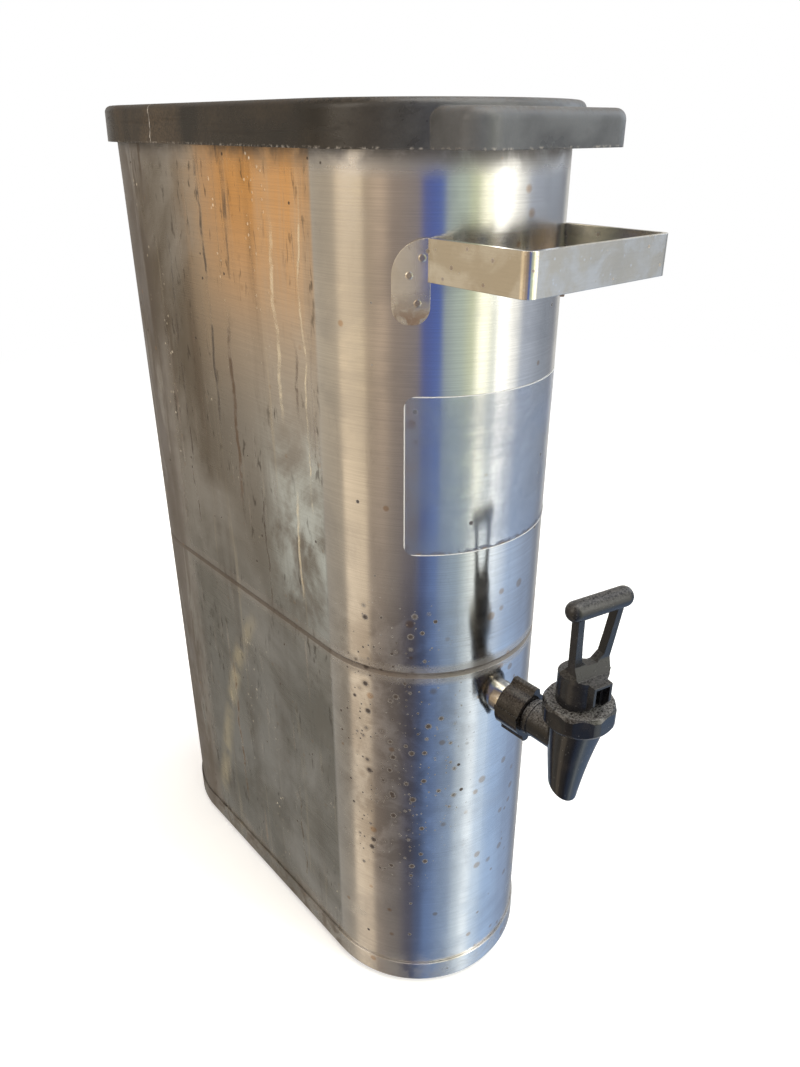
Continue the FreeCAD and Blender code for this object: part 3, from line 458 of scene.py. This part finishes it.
def buildSteelWall():
    material, tree, surface = newMaterial("stainedBrushedSteel", Anisotropic=0.55,
                                          Anisotropic_Rotation=0.25)
    look = wallLook
    tones, shares, least = look["tones"], look["shares"], look["least"]
    across, along, height = put(tree, "SeparateXYZ", {0: objectPlace(tree)}).outputs
    mark = marksFrom(tree, look["marks"])
    shifted = plus(tree, along, wander(tree, mark["streaks"], look["warmSway"]))
    zone = zonesFrom(tree, look["zones"], {"across": across, "along": along,
                                           "height": height, "shifted": shifted})
    flat, front = zone["flat"], zone["front"]

    # tarnish and painted shade: the flat sides and the rear end are duller and painted darker,
    # more so below the groove
    dull = most(tree, zone["low"], times(tree, zone["rearward"], shares["rearward"]))
    dull = most(tree, times(tree, flat, atLeast(tree, dull, least["dull"])), zone["rear"])
    dull = times(tree, dull, atLeast(tree, mark["clouds"], least["clouds"]))
    tarnishAndShadeTone = mixColours(tree, zone["upper"], tones["lowTarnishAndShade"], tones["tarnishAndShade"])
    tone = mixColours(tree, dull, tones["clean"], tarnishAndShadeTone)
    tone = lay(tree, tone, tones["cool"], flat, zone["rubbedHeight"], zone["rubbedAlong"],
               mark["rubbed"], shares["rubbed"])

    # painted warm reflection high on the sides, strongest under the lid
    tone = lay(tree, tone, tones["peach"], flat, zone["peachHeight"], zone["peachAlong"],
               atLeast(tree, mark["clouds"], least["peach"]), shares["peach"])
    tone = lay(tree, tone, tones["warm"], flat, zone["warmHeight"], zone["warmAlong"],
               atLeast(tree, mark["streaks"], least["warm"]))

    # a painted reflection of a dent: a pale arc low on the sides
    arc = look["arc"]
    fallen = calc(tree, "DIVIDE", minus(tree, arc["top"], height), arc["drop"])
    swing = calc(tree, "SQRT", most(tree, fallen, 0.0))
    away = apart(tree, along, plus(tree, times(tree, swing, arc["reach"]), arc["start"]))
    tone = lay(tree, tone, tones["cream"], flat, fall(tree, away, *arc["edge"]),
               zone["arcHeight"], mark["paintedArcPatches"], shares["paintedArcPatches"])

    # brushed lines darken the tone a little
    tone = lay(tree, tone, tones["grainDark"], fit(tree, mark["grain"], *look["grainShade"]))

    # drips in loose groups: broad faint ones, thin dark ones, flecks and pale ones
    masks = {"groups": mark["groups"], "underLid": zone["underLid"]}
    for name, ink, onWall, gaps in look["drips"]:
        held = [atLeast(tree, masks[mask], share) for mask, share in gaps.items()]
        tone = lay(tree, tone, tones[ink], mark[name], mixValues(tree, flat, *onWall), *held)

    # single dried runs
    wave = noise(tree, multiplyVector(tree, objectPlace(tree), look["runWave"]), 1.0, 3.0)
    sway = wander(tree, wave, look["runSway"])
    broken = atLeast(tree, mark["broken"], least["broken"])
    dried = 0.0
    for ink, *line in look["runs"]:
        run = times(tree, runMask(tree, along, height, sway, *line), flat, broken,
                    look["runShares"][ink])
        tone = lay(tree, tone, tones[ink], run)
        dried = most(tree, run, dried)

    # soot and grease along the rear edge, under the lid, in the groove and above the band; at the
    # rear edge also painted shade
    rearEdgeSootAndShade = times(tree, zone["rearEdgeSootAndShade"], mark["rearDrips"])
    rim = times(tree, zone["rim"], atLeast(tree, mark["rimSoot"], least["rimSoot"]))
    foot = times(tree, zone["foot"], mark["footSoot"],
                 mixValues(tree, front, 1.0, shares["frontFoot"]))
    groove = most(tree, zone["groove"], times(tree, zone["grooveSides"], shares["grooveSides"]))
    grime = most(tree, rim, foot, rearEdgeSootAndShade, groove)
    tone = lay(tree, tone, tones["soot"], grime, shares["grime"])

    # rust spots: a thick patch low on the front's left side, a looser one and few elsewhere
    thick = times(tree, zone["thickHeight"], zone["thickAcross"], front)
    loose = times(tree, zone["looseHeight"], zone["looseAcross"], front, shares["loose"])
    rusty = most(tree, thick, loose)
    big = times(tree, mark["bigSpots"], fit(tree, rusty, *look["bigSpotsIn"]))
    small = times(tree, mark["smallSpots"], atLeast(tree, rusty, least["smallSpots"]))
    spots = times(tree, most(tree, big, small, mark["loneSpots"]), mark["spotGaps"])
    spots = fit(tree, spots, *look["spotEdge"])
    haloes = most(tree, times(tree, mark["haloes"], rusty, shares["haloes"]),
                  times(tree, mark["rings"], rusty))
    watered = times(tree, mark["watered"], inverse(tree, flat))
    tone = lay(tree, tone, tones["stain"], watered, shares["watered"])
    tone = lay(tree, tone, tones["brown"], haloes, shares["rustHaloes"])
    tone = lay(tree, tone, tones["amber"], mark["amber"], atLeast(tree, front, least["amber"]),
               shares["amber"])
    tone = lay(tree, tone, tones["rust"], spots, shares["spots"])

    # pale mineral beads in trails down the flat sides, and a chalky wash low on the front
    beads = times(tree, mark["beads"], mark["trail"], flat,
                  atLeast(tree, mark["groups"], least["beads"]))
    tone = lay(tree, tone, tones["mineral"], beads, shares["beads"])
    wash = times(tree, front, zone["washHeight"], mark["wash"])
    tone = lay(tree, tone, tones["chalk"], wash, shares["wash"])

    hides = look["solid"]
    solid = most(tree, spots, beads, times(tree, grime, hides["grime"]),
                 times(tree, mark["thin"], flat, mark["groups"], hides["thin"]),
                 times(tree, dried, hides["dried"]))
    layers = {"haze": mark["haze"], "dull": dull, "wash": wash, "watered": watered}
    added = [times(tree, layers[name], share) for name, share in look["rougher"].items()]
    rough = plus(tree, look["roughness"], *added,
                 fit(tree, mark["grain"], *look["grainRoughness"]))

    # soft dents, then the brushed lines, then the beads, which stand proud of the sheet
    dents = noise(tree, objectPlace(tree), look["dentScale"], 1.5)
    normal = bump(tree, dents, look["dentDepth"], softCorner(tree, look["corner"]))
    normal = bump(tree, mark["grain"], look["grainDepth"], normal)
    normal = bump(tree, beads, look["beadDepth"], normal)
    dress(tree, surface, Base_Color=tone, Metallic=inverse(tree, solid),
          Roughness=mixValues(tree, solid, rough, look["solidRoughness"]),
          Normal=normal, Tangent=roundTangent(tree))
    return material


# the bent strip over the tap

strapLook = {
    "tones": {
        "clean": colour(0.76, 0.73, 0.67),
        "dull": colour(0.55, 0.49, 0.39),
        "rust": colour(0.13, 0.062, 0.03),
        "grainDark": colour(0.25, 0.24, 0.22),
        "dried": colour(0.8, 0.8, 0.8),
    },
    "marks": {
        "grain": ("grain", {"Lines": 2200.0, "Along": 60.0}),
        "mottle": ("patches", {"Scale": 48.0, "From": 0.36, "To": 0.60, "Seed": 2.0}),
        "lowRust": ("patches", {"Scale": 150.0, "From": 0.35, "To": 0.55, "Seed": 5.0}),
        "spotted": ("spots", {"Scale": 210.0, "Size": 0.3, "Share": 0.3, "Seed": 3.0}),
        "dried": ("spots", {"Scale": 420.0, "Size": 0.4, "Share": 0.4, "Seed": 6.0}),
    },
    "zones": {
        "pad": ("rise", "along", -0.150, -0.140),
        "bow": ("fall", "along", -0.199, -0.192),
        "lowEdge": ("fall", "height", 0.458, 0.472),
    },
    "shares": {"pad": 0.8, "dull": 0.7, "spotted": 0.7, "weld": 0.45, "dried": 0.6,
               "rust": 0.85},
    "solid": {"rust": 0.9, "pad": 0.35},
    "grainShade": (0.35, 0.7, 0.0, 0.08),
    # weld spots on each pad, as turns from straight ahead in degrees and heights in metres
    "welds": ((43.5, 0.4855), (48.0, 0.478), (45.0, 0.466)),
    "weldReach": 0.0735,
    "weldRadius": 0.0019,
    "weldCore": 0.55,
    "roughness": 0.13,
    "mottleRoughness": 0.12,
    "rustRoughness": 0.7,
    "corner": 0.0005,
    "waveScale": 34.0,
    "waveDepth": 0.0006,
    "grainDepth": 0.000006,
    "weldDepth": 0.0003,
}


def weldMask(tree, place, turn, height, side):
    reach, radius = strapLook["weldReach"], strapLook["weldRadius"]
    centre = (side * reach * math.sin(math.radians(turn)),
              -tank["endCentre"] - reach * math.cos(math.radians(turn)), height)
    away = put(tree, "VectorMath", {0: place, 1: centre}, operation="DISTANCE")
    return fall(tree, away.outputs["Value"], radius * strapLook["weldCore"], radius)


def buildSteelStrap():
    material, tree, surface = newMaterial("mottledStripSteel", Anisotropic=0.3,
                                          Anisotropic_Rotation=0.25)
    look = strapLook
    tones, shares = look["tones"], look["shares"]
    place = objectPlace(tree)
    across, along, height = put(tree, "SeparateXYZ", {0: place}).outputs
    mark = marksFrom(tree, look["marks"])
    zone = zonesFrom(tree, look["zones"], {"along": along, "height": height})

    # the pads against the tank are duller than the bow
    mottle = most(tree, mark["mottle"], times(tree, zone["pad"], shares["pad"]))
    tone = mixColours(tree, times(tree, mottle, shares["dull"]), tones["clean"], tones["dull"])
    tone = lay(tree, tone, tones["grainDark"], fit(tree, mark["grain"], *look["grainShade"]))
    rust = most(tree, times(tree, zone["lowEdge"], mark["lowRust"]),
                times(tree, mark["spotted"], shares["spotted"]))
    weld = most(tree, *[weldMask(tree, place, turn, level, side)
                        for turn, level in look["welds"] for side in (-1, 1)])
    tone = lay(tree, tone, tones["rust"], weld, shares["weld"])
    tone = lay(tree, tone, tones["dried"], mark["dried"], zone["bow"], shares["dried"])
    tone = lay(tree, tone, tones["rust"], rust, shares["rust"])

    solid = most(tree, times(tree, rust, look["solid"]["rust"]),
                 times(tree, zone["pad"], look["solid"]["pad"]))
    rough = plus(tree, look["roughness"], times(tree, mottle, look["mottleRoughness"]))
    waves = noise(tree, place, look["waveScale"], 1.0)
    normal = bump(tree, mark["grain"], look["grainDepth"], softCorner(tree, look["corner"]))
    normal = bump(tree, waves, look["waveDepth"], normal)
    normal = bump(tree, weld, look["weldDepth"], normal)
    dress(tree, surface, Base_Color=tone, Metallic=inverse(tree, solid),
          Roughness=mixValues(tree, rust, rough, look["rustRoughness"]),
          Normal=normal, Tangent=roundTangent(tree))
    return material


# tube, wire and the tank's inside

plainSteels = {
    "polishedTube": {"tone": colour(0.74, 0.70, 0.62), "roughness": 0.16, "lines": 1800.0},
    "drawnWire": {"tone": colour(0.52, 0.52, 0.54), "roughness": 0.3, "lines": 2500.0},
    "tankInside": {"tone": colour(0.50, 0.46, 0.41), "roughness": 0.36, "lines": 2000.0},
}
plainSteelWear = {
    "grainDark": colour(0.3, 0.28, 0.25),
    "stain": colour(0.16, 0.11, 0.07),
    "grainAlong": 150.0,
    "grainShade": (0.35, 0.75, 0.0, 0.25),
    "grainDepth": 0.00002,
    "stains": {"Scale": 120.0, "From": 0.5, "To": 0.72, "Seed": 4.0},
    "stainShare": 0.5,
    "stainSolid": 0.3,
    "stainRoughness": 0.2,
    "corner": 0.0003,
}


def buildPlainSteel(name):
    look, wear = plainSteels[name], plainSteelWear
    material, tree, surface = newMaterial(name)
    grain = effect(tree, "grain", Lines=look["lines"], Along=wear["grainAlong"])
    stain = effect(tree, "patches", **wear["stains"])
    tone = lay(tree, look["tone"], wear["grainDark"], fit(tree, grain, *wear["grainShade"]))
    tone = lay(tree, tone, wear["stain"], stain, wear["stainShare"])
    rough = plus(tree, look["roughness"], times(tree, stain, wear["stainRoughness"]))
    dress(tree, surface, Base_Color=tone, Roughness=rough,
          Metallic=inverse(tree, times(tree, stain, wear["stainSolid"])),
          Normal=bump(tree, grain, wear["grainDepth"], softCorner(tree, wear["corner"])))
    return material


# the lid

lidLook = {
    "tones": {
        "plastic": colour(0.013, 0.011, 0.010),
        "dust": colour(0.21, 0.15, 0.095),
        # a painted sheen for the lip's nose
        "paintedSheen": colour(0.20, 0.215, 0.235),
        "chalk": colour(0.42, 0.38, 0.34),
    },
    "marks": {
        "film": ("patches", {"Scale": 16.0, "From": 0.34, "To": 0.66, "Seed": 21.0}),
        "lying": ("dust", {"Amount": 0.6, "Scale": 420.0, "Seed": 2.0}),
        "hem": ("patches", {"Scale": 420.0, "From": 0.50, "To": 0.66, "Seed": 17.0}),
        "rubbed": ("edges", {"Width": 0.0012, "Amount": 0.7}),
    },
    # a rise may also name what it runs from and to
    "zones": {
        "rearward": ("rise", "along", -0.14, 0.02, 0.22, 1.0),
        "top": ("rise", "height", 0.5445, 0.5475, 0.42, 0.14),
        "nose": ("fall", "along", -0.165, -0.115),
        "hem": ("fall", "height", 0.5288, 0.5300),
    },
    "shares": {"nose": 0.45, "lying": 0.28, "hem": 0.55, "rubbed": 0.2},
    "leastPaintedSheen": 0.4,
    "fineScale": 900.0,
    "fineShade": (0.32, 0.66, 0.25, 1.0),
    "crackAt": 0.051,
    "crackEnd": -0.05,
    "crackWidth": 0.00035,
    "crackEdge": (0.5, 1.5),
    "crackSway": 0.006,
    "crackWave": 210.0,
    "scratches": (300.0, 12.0, 300.0),
    "roughness": 0.31,
    "filmRoughness": (0.0, 1.0, -0.06, 0.12),
    "scratchRoughness": (0.55, 0.7, 0.0, 0.15),
    "dustRoughness": 0.75,
    "corner": 0.001,
    "fineDepth": 0.00004,
    "crackDepth": -0.0004,
}


def buildLid():
    material, tree, surface = newMaterial("wornBlackLid", Specular_IOR_Level=0.4)
    look = lidLook
    tones, shares = look["tones"], look["shares"]
    across, along, height = put(tree, "SeparateXYZ", {0: objectPlace(tree)}).outputs
    mark = marksFrom(tree, look["marks"])
    zone = zonesFrom(tree, look["zones"], {"along": along, "height": height})
    fine = noise(tree, objectPlace(tree), look["fineScale"], 4.0, 0.7)

    # brown film towards the rear, and a painted pale sheen on the lip's nose
    tone = lay(tree, tones["plastic"], tones["dust"], mark["film"], zone["rearward"],
               fit(tree, fine, *look["fineShade"]), zone["top"])
    tone = lay(tree, tone, tones["paintedSheen"], zone["nose"],
               atLeast(tree, mark["film"], look["leastPaintedSheen"]), shares["nose"])
    tone = lay(tree, tone, tones["dust"], mark["lying"], shares["lying"])
    tone = lay(tree, tone, tones["chalk"], zone["hem"], mark["hem"], shares["hem"])
    tone = lay(tree, tone, tones["chalk"], mark["rubbed"], shares["rubbed"])

    # the crack in the skirt's left side
    wave = noise(tree, objectPlace(tree), look["crackWave"], 3.0)
    gap = apart(tree, plus(tree, along, wander(tree, wave, look["crackSway"])), look["crackAt"])
    inner, outer = (look["crackWidth"] * share for share in look["crackEdge"])
    crack = times(tree, fall(tree, gap, inner, outer),
                  calc(tree, "LESS_THAN", across, look["crackEnd"]))
    tone = lay(tree, tone, tones["chalk"], crack)

    scratch = noise(tree, multiplyVector(tree, objectPlace(tree), look["scratches"]), 1.0, 2.0)
    rough = plus(tree, look["roughness"], fit(tree, mark["film"], *look["filmRoughness"]),
                 fit(tree, scratch, *look["scratchRoughness"]))
    normal = bump(tree, fine, look["fineDepth"], softCorner(tree, look["corner"]))
    normal = bump(tree, crack, look["crackDepth"], normal)
    dress(tree, surface, Base_Color=tone, Normal=normal,
          Roughness=mixValues(tree, mark["lying"], rough, look["dustRoughness"]))
    return material


# the tap's plastics

tapLooks = {
    "tapGloss": {"plastic": colour(0.007, 0.007, 0.008), "dust": colour(0.32, 0.31, 0.30),
                 "haze": colour(0.022, 0.018, 0.015), "roughness": 0.10, "dustAmount": 0.55},
    "nutGloss": {"plastic": colour(0.011, 0.009, 0.008), "dust": colour(0.20, 0.17, 0.14),
                 "haze": colour(0.032, 0.024, 0.018), "roughness": 0.16, "dustAmount": 0.25},
    "handleWorn": {"plastic": colour(0.010, 0.010, 0.012), "dust": colour(0.22, 0.21, 0.20),
                   "haze": colour(0.022, 0.021, 0.020), "roughness": 0.20, "dustAmount": 0.32},
}
tapWear = {
    "marks": {
        "haze": ("patches", {"Scale": 85.0, "From": 0.42, "To": 0.72, "Seed": 5.0}),
        "rubbed": ("edges", {"Width": 0.0006, "Amount": 0.8}),
        "flecks": ("spots", {"Scale": 700.0, "Size": 0.3, "Share": 0.16, "Seed": 13.0}),
    },
    "dust": {"Scale": 900.0, "Seed": 3.0},
    "shares": {"haze": 0.6, "rubbed": 0.14, "flecks": 0.25},
    "hazeRoughness": 0.14,
    "dustRoughness": 0.8,
    "fineScale": 1400.0,
    "cleanDepth": 0.03,
    "dustDepth": 0.00009,
    "corner": 0.0006,
}


def buildTapPlastic(name):
    look, wear = tapLooks[name], tapWear
    shares = wear["shares"]
    material, tree, surface = newMaterial(name, Specular_IOR_Level=0.38)
    fine = noise(tree, objectPlace(tree), wear["fineScale"], 4.0, 0.75)
    mark = marksFrom(tree, wear["marks"])
    dust = effect(tree, "dust", Amount=look["dustAmount"], **wear["dust"])
    tone = lay(tree, look["plastic"], look["haze"], mark["haze"], shares["haze"])
    tone = lay(tree, tone, look["dust"], dust)
    tone = lay(tree, tone, look["dust"], mark["rubbed"], shares["rubbed"])
    tone = lay(tree, tone, look["dust"], mark["flecks"], shares["flecks"])
    rough = plus(tree, look["roughness"], times(tree, mark["haze"], wear["hazeRoughness"]))
    rise = times(tree, fine, atLeast(tree, dust, wear["cleanDepth"]))
    dress(tree, surface, Base_Color=tone,
          Roughness=mixValues(tree, dust, rough, wear["dustRoughness"]),
          Normal=bump(tree, rise, wear["dustDepth"], softCorner(tree, wear["corner"])))
    return material


# feet, seals and slip washer

softLooks = {
    "footRubber": {"tone": colour(0.03, 0.028, 0.026), "dirt": colour(0.16, 0.13, 0.10),
                   "roughness": 0.7},
    "siliconeSeal": {"tone": colour(0.55, 0.53, 0.49), "dirt": colour(0.30, 0.24, 0.17),
                     "roughness": 0.5},
    "slipPlastic": {"tone": colour(0.74, 0.73, 0.70), "dirt": colour(0.42, 0.36, 0.28),
                    "roughness": 0.45},
}
softWear = {
    "dirt": {"Scale": 240.0, "From": 0.45, "To": 0.7, "Seed": 3.0},
    "dirtShare": 0.6,
    "dirtRoughness": 0.15,
    "fineScale": 1800.0,
    "fineDepth": 0.00008,
    "corner": 0.0005,
}


def buildSoft(name):
    look, wear = softLooks[name], softWear
    material, tree, surface = newMaterial(name)
    dirt = effect(tree, "patches", **wear["dirt"])
    fine = noise(tree, objectPlace(tree), wear["fineScale"], 3.0)
    dress(tree, surface, Base_Color=lay(tree, look["tone"], look["dirt"], dirt,
                                        wear["dirtShare"]),
          Roughness=plus(tree, look["roughness"], times(tree, dirt, wear["dirtRoughness"])),
          Normal=bump(tree, fine, wear["fineDepth"], softCorner(tree, wear["corner"])))
    return material


# the clear film round the front

filmLook = {
    "film": colour(0.22, 0.29, 0.46),
    "grime": colour(0.16, 0.11, 0.07),
    "edge": colour(0.8, 0.8, 0.8),
    "lowEdge": 0.3372,
    "highEdge": 0.4222,
    "edgeLine": 0.0005,
    "edgeBlur": 0.0002,
    "halfTurn": 50.0,
    "endLine": (0.011, 0.007),
    "grimeHeight": 0.0035,
    "grimeCover": 0.9,
    "edgeCover": 0.55,
    "cover": 0.085,
    "coverSpread": (-0.05, 0.07),
    "roughness": (0.0, 1.0, 0.12, 0.24),
    "grainDepth": 0.000008,
    "marks": {
        "grime": ("patches", {"Scale": 210.0, "From": 0.38, "To": 0.6, "Seed": 2.0}),
        "haze": ("patches", {"Scale": 40.0, "From": 0.35, "To": 0.7, "Seed": 6.0}),
        "grain": ("grain", {"Lines": 1600.0, "Along": 30.0}),
    },
}


def buildFilm():
    material, tree, surface = newMaterial("clearFilm", Specular_IOR_Level=0.6)
    look = filmLook
    across, along, height = put(tree, "SeparateXYZ", {0: objectPlace(tree)}).outputs
    mark = marksFrom(tree, look["marks"])
    bottom, top = look["lowEdge"] + look["edgeLine"], look["highEdge"] - look["edgeLine"]
    grime = times(tree, fall(tree, height, bottom, look["lowEdge"] + look["grimeHeight"]),
                  mark["grime"])

    # a thin pale line along the film's edges
    ahead = times(tree, plus(tree, along, tank["endCentre"]), -1.0)
    turn = calc(tree, "ABSOLUTE", calc(tree, "ARCTAN2", across, ahead))
    ends = fit(tree, turn, *(math.radians(look["halfTurn"]) - line for line in look["endLine"]))
    edge = most(tree, ends, inverse(tree, band(tree, height, bottom, top, look["edgeBlur"])))

    tone = lay(tree, look["film"], look["grime"], grime)
    cover = mixValues(tree, mark["haze"], *(look["cover"] + more for more in look["coverSpread"]))
    cover = most(tree, cover, times(tree, grime, look["grimeCover"]),
                 times(tree, edge, look["edgeCover"]))
    dress(tree, surface, Base_Color=lay(tree, tone, look["edge"], edge), Alpha=cover,
          Roughness=fit(tree, mark["haze"], *look["roughness"]),
          Normal=bump(tree, mark["grain"], look["grainDepth"]))
    return material


finishes = {
    "wall": buildSteelWall(), "strap": buildSteelStrap(),
    "tube": buildPlainSteel("polishedTube"), "wire": buildPlainSteel("drawnWire"),
    "inside": buildPlainSteel("tankInside"), "lid": buildLid(),
    "tap": buildTapPlastic("tapGloss"), "nut": buildTapPlastic("nutGloss"),
    "handle": buildTapPlastic("handleWorn"), "rubber": buildSoft("footRubber"),
    "seal": buildSoft("siliconeSeal"), "slip": buildSoft("slipPlastic"), "film": buildFilm(),
}
wornBy = {
    "wall": ("body_shell", "base_band"),
    "strap": ("front_handle",),
    "inside": ("floor_pan",),
    "tube": ("outlet_tube", "tube_thread"),
    "wire": ("tap_spring", "handle_pin", "retaining_ring", "stem"),
    "lid": ("lid",),
    "tap": ("tap_body", "bonnet"),
    "nut": ("wing_nut",),
    "handle": ("tap_handle",),
    "rubber": ("foot_front_left", "foot_front_right", "foot_rear_left", "foot_rear_right"),
    "seal": ("seal_washer", "seat_cup", "bonnet_seal"),
    "slip": ("thrust_washer",),
    "film": ("label_film",),
}
for finish, names in wornBy.items():
    for name in names:
        for slot in nodes[name].material_slots:
            slot.material = finishes[finish]
print("materials placed,", len(finishes))


# the tap's spring, copied and hung on the swivel in place of the packed one; the real one
# shortens as the stem comes up


def buildTapSpring():
    packed = nodes["tap_spring"]
    spring = bpy.data.objects.new("pressedSpring", packed.data.copy())
    bpy.context.scene.collection.objects.link(spring)
    spring.matrix_world = packed.matrix_world
    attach(spring, "swivel")
    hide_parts("tap_spring")
    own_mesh(spring)


buildTapSpring()


# floor, light and camera

studio = {
    "floorSize": 30.0,
    "floorDrop": 0.0002,
    "floorTone": colour(0.86, 0.86, 0.86),
    "floorRoughness": 0.75,
    "floorLift": 0.40,
    "floorFade": (0.7, 1.9),
    "backdrop": colour(1.0, 1.0, 1.0),
    # what the steel mirrors, by heading in degrees round the urn from straight ahead
    "level": ((-180, (0.50, 0.47, 0.43)), (-160, (0.38, 0.33, 0.27)), (-143, (0.74, 0.65, 0.52)),
              (-136, (0.66, 0.56, 0.42)), (-120, (0.68, 0.57, 0.42)), (-116, (1.12, 0.90, 0.62)),
              (-95, (0.98, 0.79, 0.54)), (-90, (0.60, 0.47, 0.33)), (-78, (0.72, 0.56, 0.41)),
              (-66, (0.42, 0.34, 0.28)), (-48, (0.36, 0.31, 0.29)), (-42, (0.14, 0.18, 0.46)),
              (-30, (0.13, 0.20, 0.56)), (-25, (0.48, 0.56, 0.54)), (-14, (0.62, 0.72, 0.62)),
              (-3, (0.86, 0.92, 0.62)), (6, (2.2, 2.15, 1.65)), (17, (1.1, 1.15, 1.0)),
              (24, (2.6, 2.55, 2.3)), (38, (1.5, 1.5, 1.4)), (48, (0.62, 0.68, 0.78)),
              (80, (0.38, 0.42, 0.48)), (98, (0.34, 0.36, 0.40)), (112, (0.72, 0.71, 0.68)),
              (140, (0.60, 0.58, 0.54)), (180, (0.50, 0.47, 0.43))),
    # the same lower down, where the ground is bluer
    "ground": ((-180, (0.32, 0.31, 0.29)), (-158, (0.24, 0.23, 0.20)), (-143, (0.46, 0.44, 0.40)),
               (-136, (0.42, 0.38, 0.32)), (-120, (0.44, 0.39, 0.32)), (-116, (1.05, 0.88, 0.67)),
               (-96, (0.92, 0.76, 0.57)), (-90, (0.38, 0.32, 0.27)), (-70, (0.27, 0.24, 0.22)),
               (-52, (0.13, 0.13, 0.17)), (-42, (0.12, 0.16, 0.28)), (-32, (0.20, 0.30, 0.54)),
               (-10, (0.36, 0.48, 0.68)), (2, (0.78, 0.92, 1.05)), (14, (1.35, 1.5, 1.6)),
               (26, (0.8, 1.0, 1.25)), (44, (0.52, 0.72, 1.05)), (80, (0.36, 0.47, 0.68)),
               (98, (0.26, 0.30, 0.38)), (112, (0.50, 0.50, 0.50)), (140, (0.42, 0.42, 0.41)),
               (180, (0.32, 0.31, 0.29))),
    "groundFrom": -0.18,
    "groundFull": -0.62,
    "surroundStrength": 1.0,
}


def ringOfTones(tree, turn, stops):
    ramp = put(tree, "ValToRGB", {"Fac": turn})
    ring = ramp.color_ramp
    ring.interpolation = "EASE"
    while len(ring.elements) < len(stops):
        ring.elements.new(0.5)
    # all places first, because a stop that moves may change its number
    for element, (degrees, tone) in zip(ring.elements, stops):
        element.position = degrees / 360 + 0.5
    for element, (degrees, tone) in zip(ring.elements, stops):
        element.color = colour(*tone)
    return ramp.outputs[0]


def buildWorld():
    world = bpy.data.worlds.new("studioWorld")
    bpy.context.scene.world = world
    world.use_nodes = True
    tree = world.node_tree
    tree.nodes.clear()
    ray = put(tree, "SeparateXYZ", {0: put(tree, "TexCoord").outputs["Generated"]})
    heading = calc(tree, "ARCTAN2", ray.outputs[0], times(tree, ray.outputs[1], -1.0))
    turn = plus(tree, calc(tree, "DIVIDE", heading, math.tau), 0.5)
    steep = fall(tree, ray.outputs[2], studio["groundFull"], studio["groundFrom"])
    tones = mixColours(tree, steep, ringOfTones(tree, turn, studio["level"]),
                       ringOfTones(tree, turn, studio["ground"]))
    around = put(tree, "Background", {"Color": tones, "Strength": studio["surroundStrength"]})
    plain = put(tree, "Background", {"Color": studio["backdrop"], "Strength": 1.0})
    seen = put(tree, "LightPath").outputs["Is Camera Ray"]
    both = put(tree, "MixShader", {0: seen, 1: around.outputs[0], 2: plain.outputs[0]})
    put(tree, "OutputWorld", {"Surface": both.outputs[0]})


def buildFloor():
    bpy.ops.object.select_all(action="DESELECT")
    bpy.ops.mesh.primitive_plane_add(size=studio["floorSize"],
                                     location=(0, 0, -studio["floorDrop"]))
    floor = bpy.context.object
    floor.name = "studioFloor"
    floor.visible_glossy = False
    material, tree, surface = newMaterial("paleFloor", Roughness=studio["floorRoughness"],
                                          Base_Color=studio["floorTone"],
                                          Emission_Color=studio["backdrop"])
    seen = put(tree, "LightPath").outputs["Is Camera Ray"]
    dress(tree, surface, Emission_Strength=times(tree, seen, studio["floorLift"]))
    # far out the floor runs into the backdrop
    away = put(tree, "VectorMath", {0: objectPlace(tree)}, operation="LENGTH").outputs["Value"]
    far = times(tree, fit(tree, away, *studio["floorFade"]), seen)
    white = put(tree, "Emission", {"Color": studio["backdrop"], "Strength": 1.0})
    both = put(tree, "MixShader", {0: far, 1: surface.outputs[0], 2: white.outputs[0]})
    out = next(node for node in tree.nodes if node.bl_idname == "ShaderNodeOutputMaterial")
    feed(tree, out.inputs["Surface"], both.outputs[0])
    floor.data.materials.append(material)


# each light: place, aim, width and height, power, tone
softLights = {
    "topSoftbox": ((0.2, -0.47, 2.2), (0, 0, 0.2), (1.6, 1.6), 28.0, (1.0, 0.98, 0.95)),
    "leftSoftbox": ((-1.9, 0.33, 1.3), (0, 0, 0.3), (0.8, 1.4), 10.0, (1.0, 0.93, 0.84)),
    "frontSoftbox": ((0.55, -1.87, 1.1), (0, 0, 0.25), (0.35, 1.5), 12.0, (1.0, 0.98, 0.90)),
    "rightSoftbox": ((1.9, -0.37, 1.2), (0, 0, 0.3), (0.9, 1.4), 8.0, (0.80, 0.88, 1.0)),
}


def addLight(name, place, aim, size, power, tone):
    bpy.ops.object.light_add(type="AREA", location=place)
    lamp = bpy.context.object
    lamp.name = name
    lamp.data.shape = "RECTANGLE"
    lamp.data.size, lamp.data.size_y = size
    lamp.data.energy = power
    lamp.data.color = tone
    lamp.rotation_euler = (Vector(aim) - Vector(place)).to_track_quat("-Z", "Y").to_euler()


photoCamera = {
    "place": (-0.3048, -0.38865, 0.5375),
    "tilt": 26.326,
    "turn": -41.006,
    "lens": 27.847,
    "film": 36.0,
    "nearest": 0.01,
}


def buildCamera():
    bpy.ops.object.camera_add(location=photoCamera["place"])
    camera = bpy.context.object
    camera.rotation_euler = (math.radians(90 - photoCamera["tilt"]), 0,
                             math.radians(photoCamera["turn"]))
    camera.data.lens = photoCamera["lens"]
    camera.data.sensor_width = photoCamera["film"]
    camera.data.clip_start = photoCamera["nearest"]
    bpy.context.scene.camera = camera


buildWorld()
buildFloor()
for name, settings in softLights.items():
    addLight(name, *settings)
buildCamera()
bpy.context.scene.view_settings.view_transform = "Standard"
print("studio set")
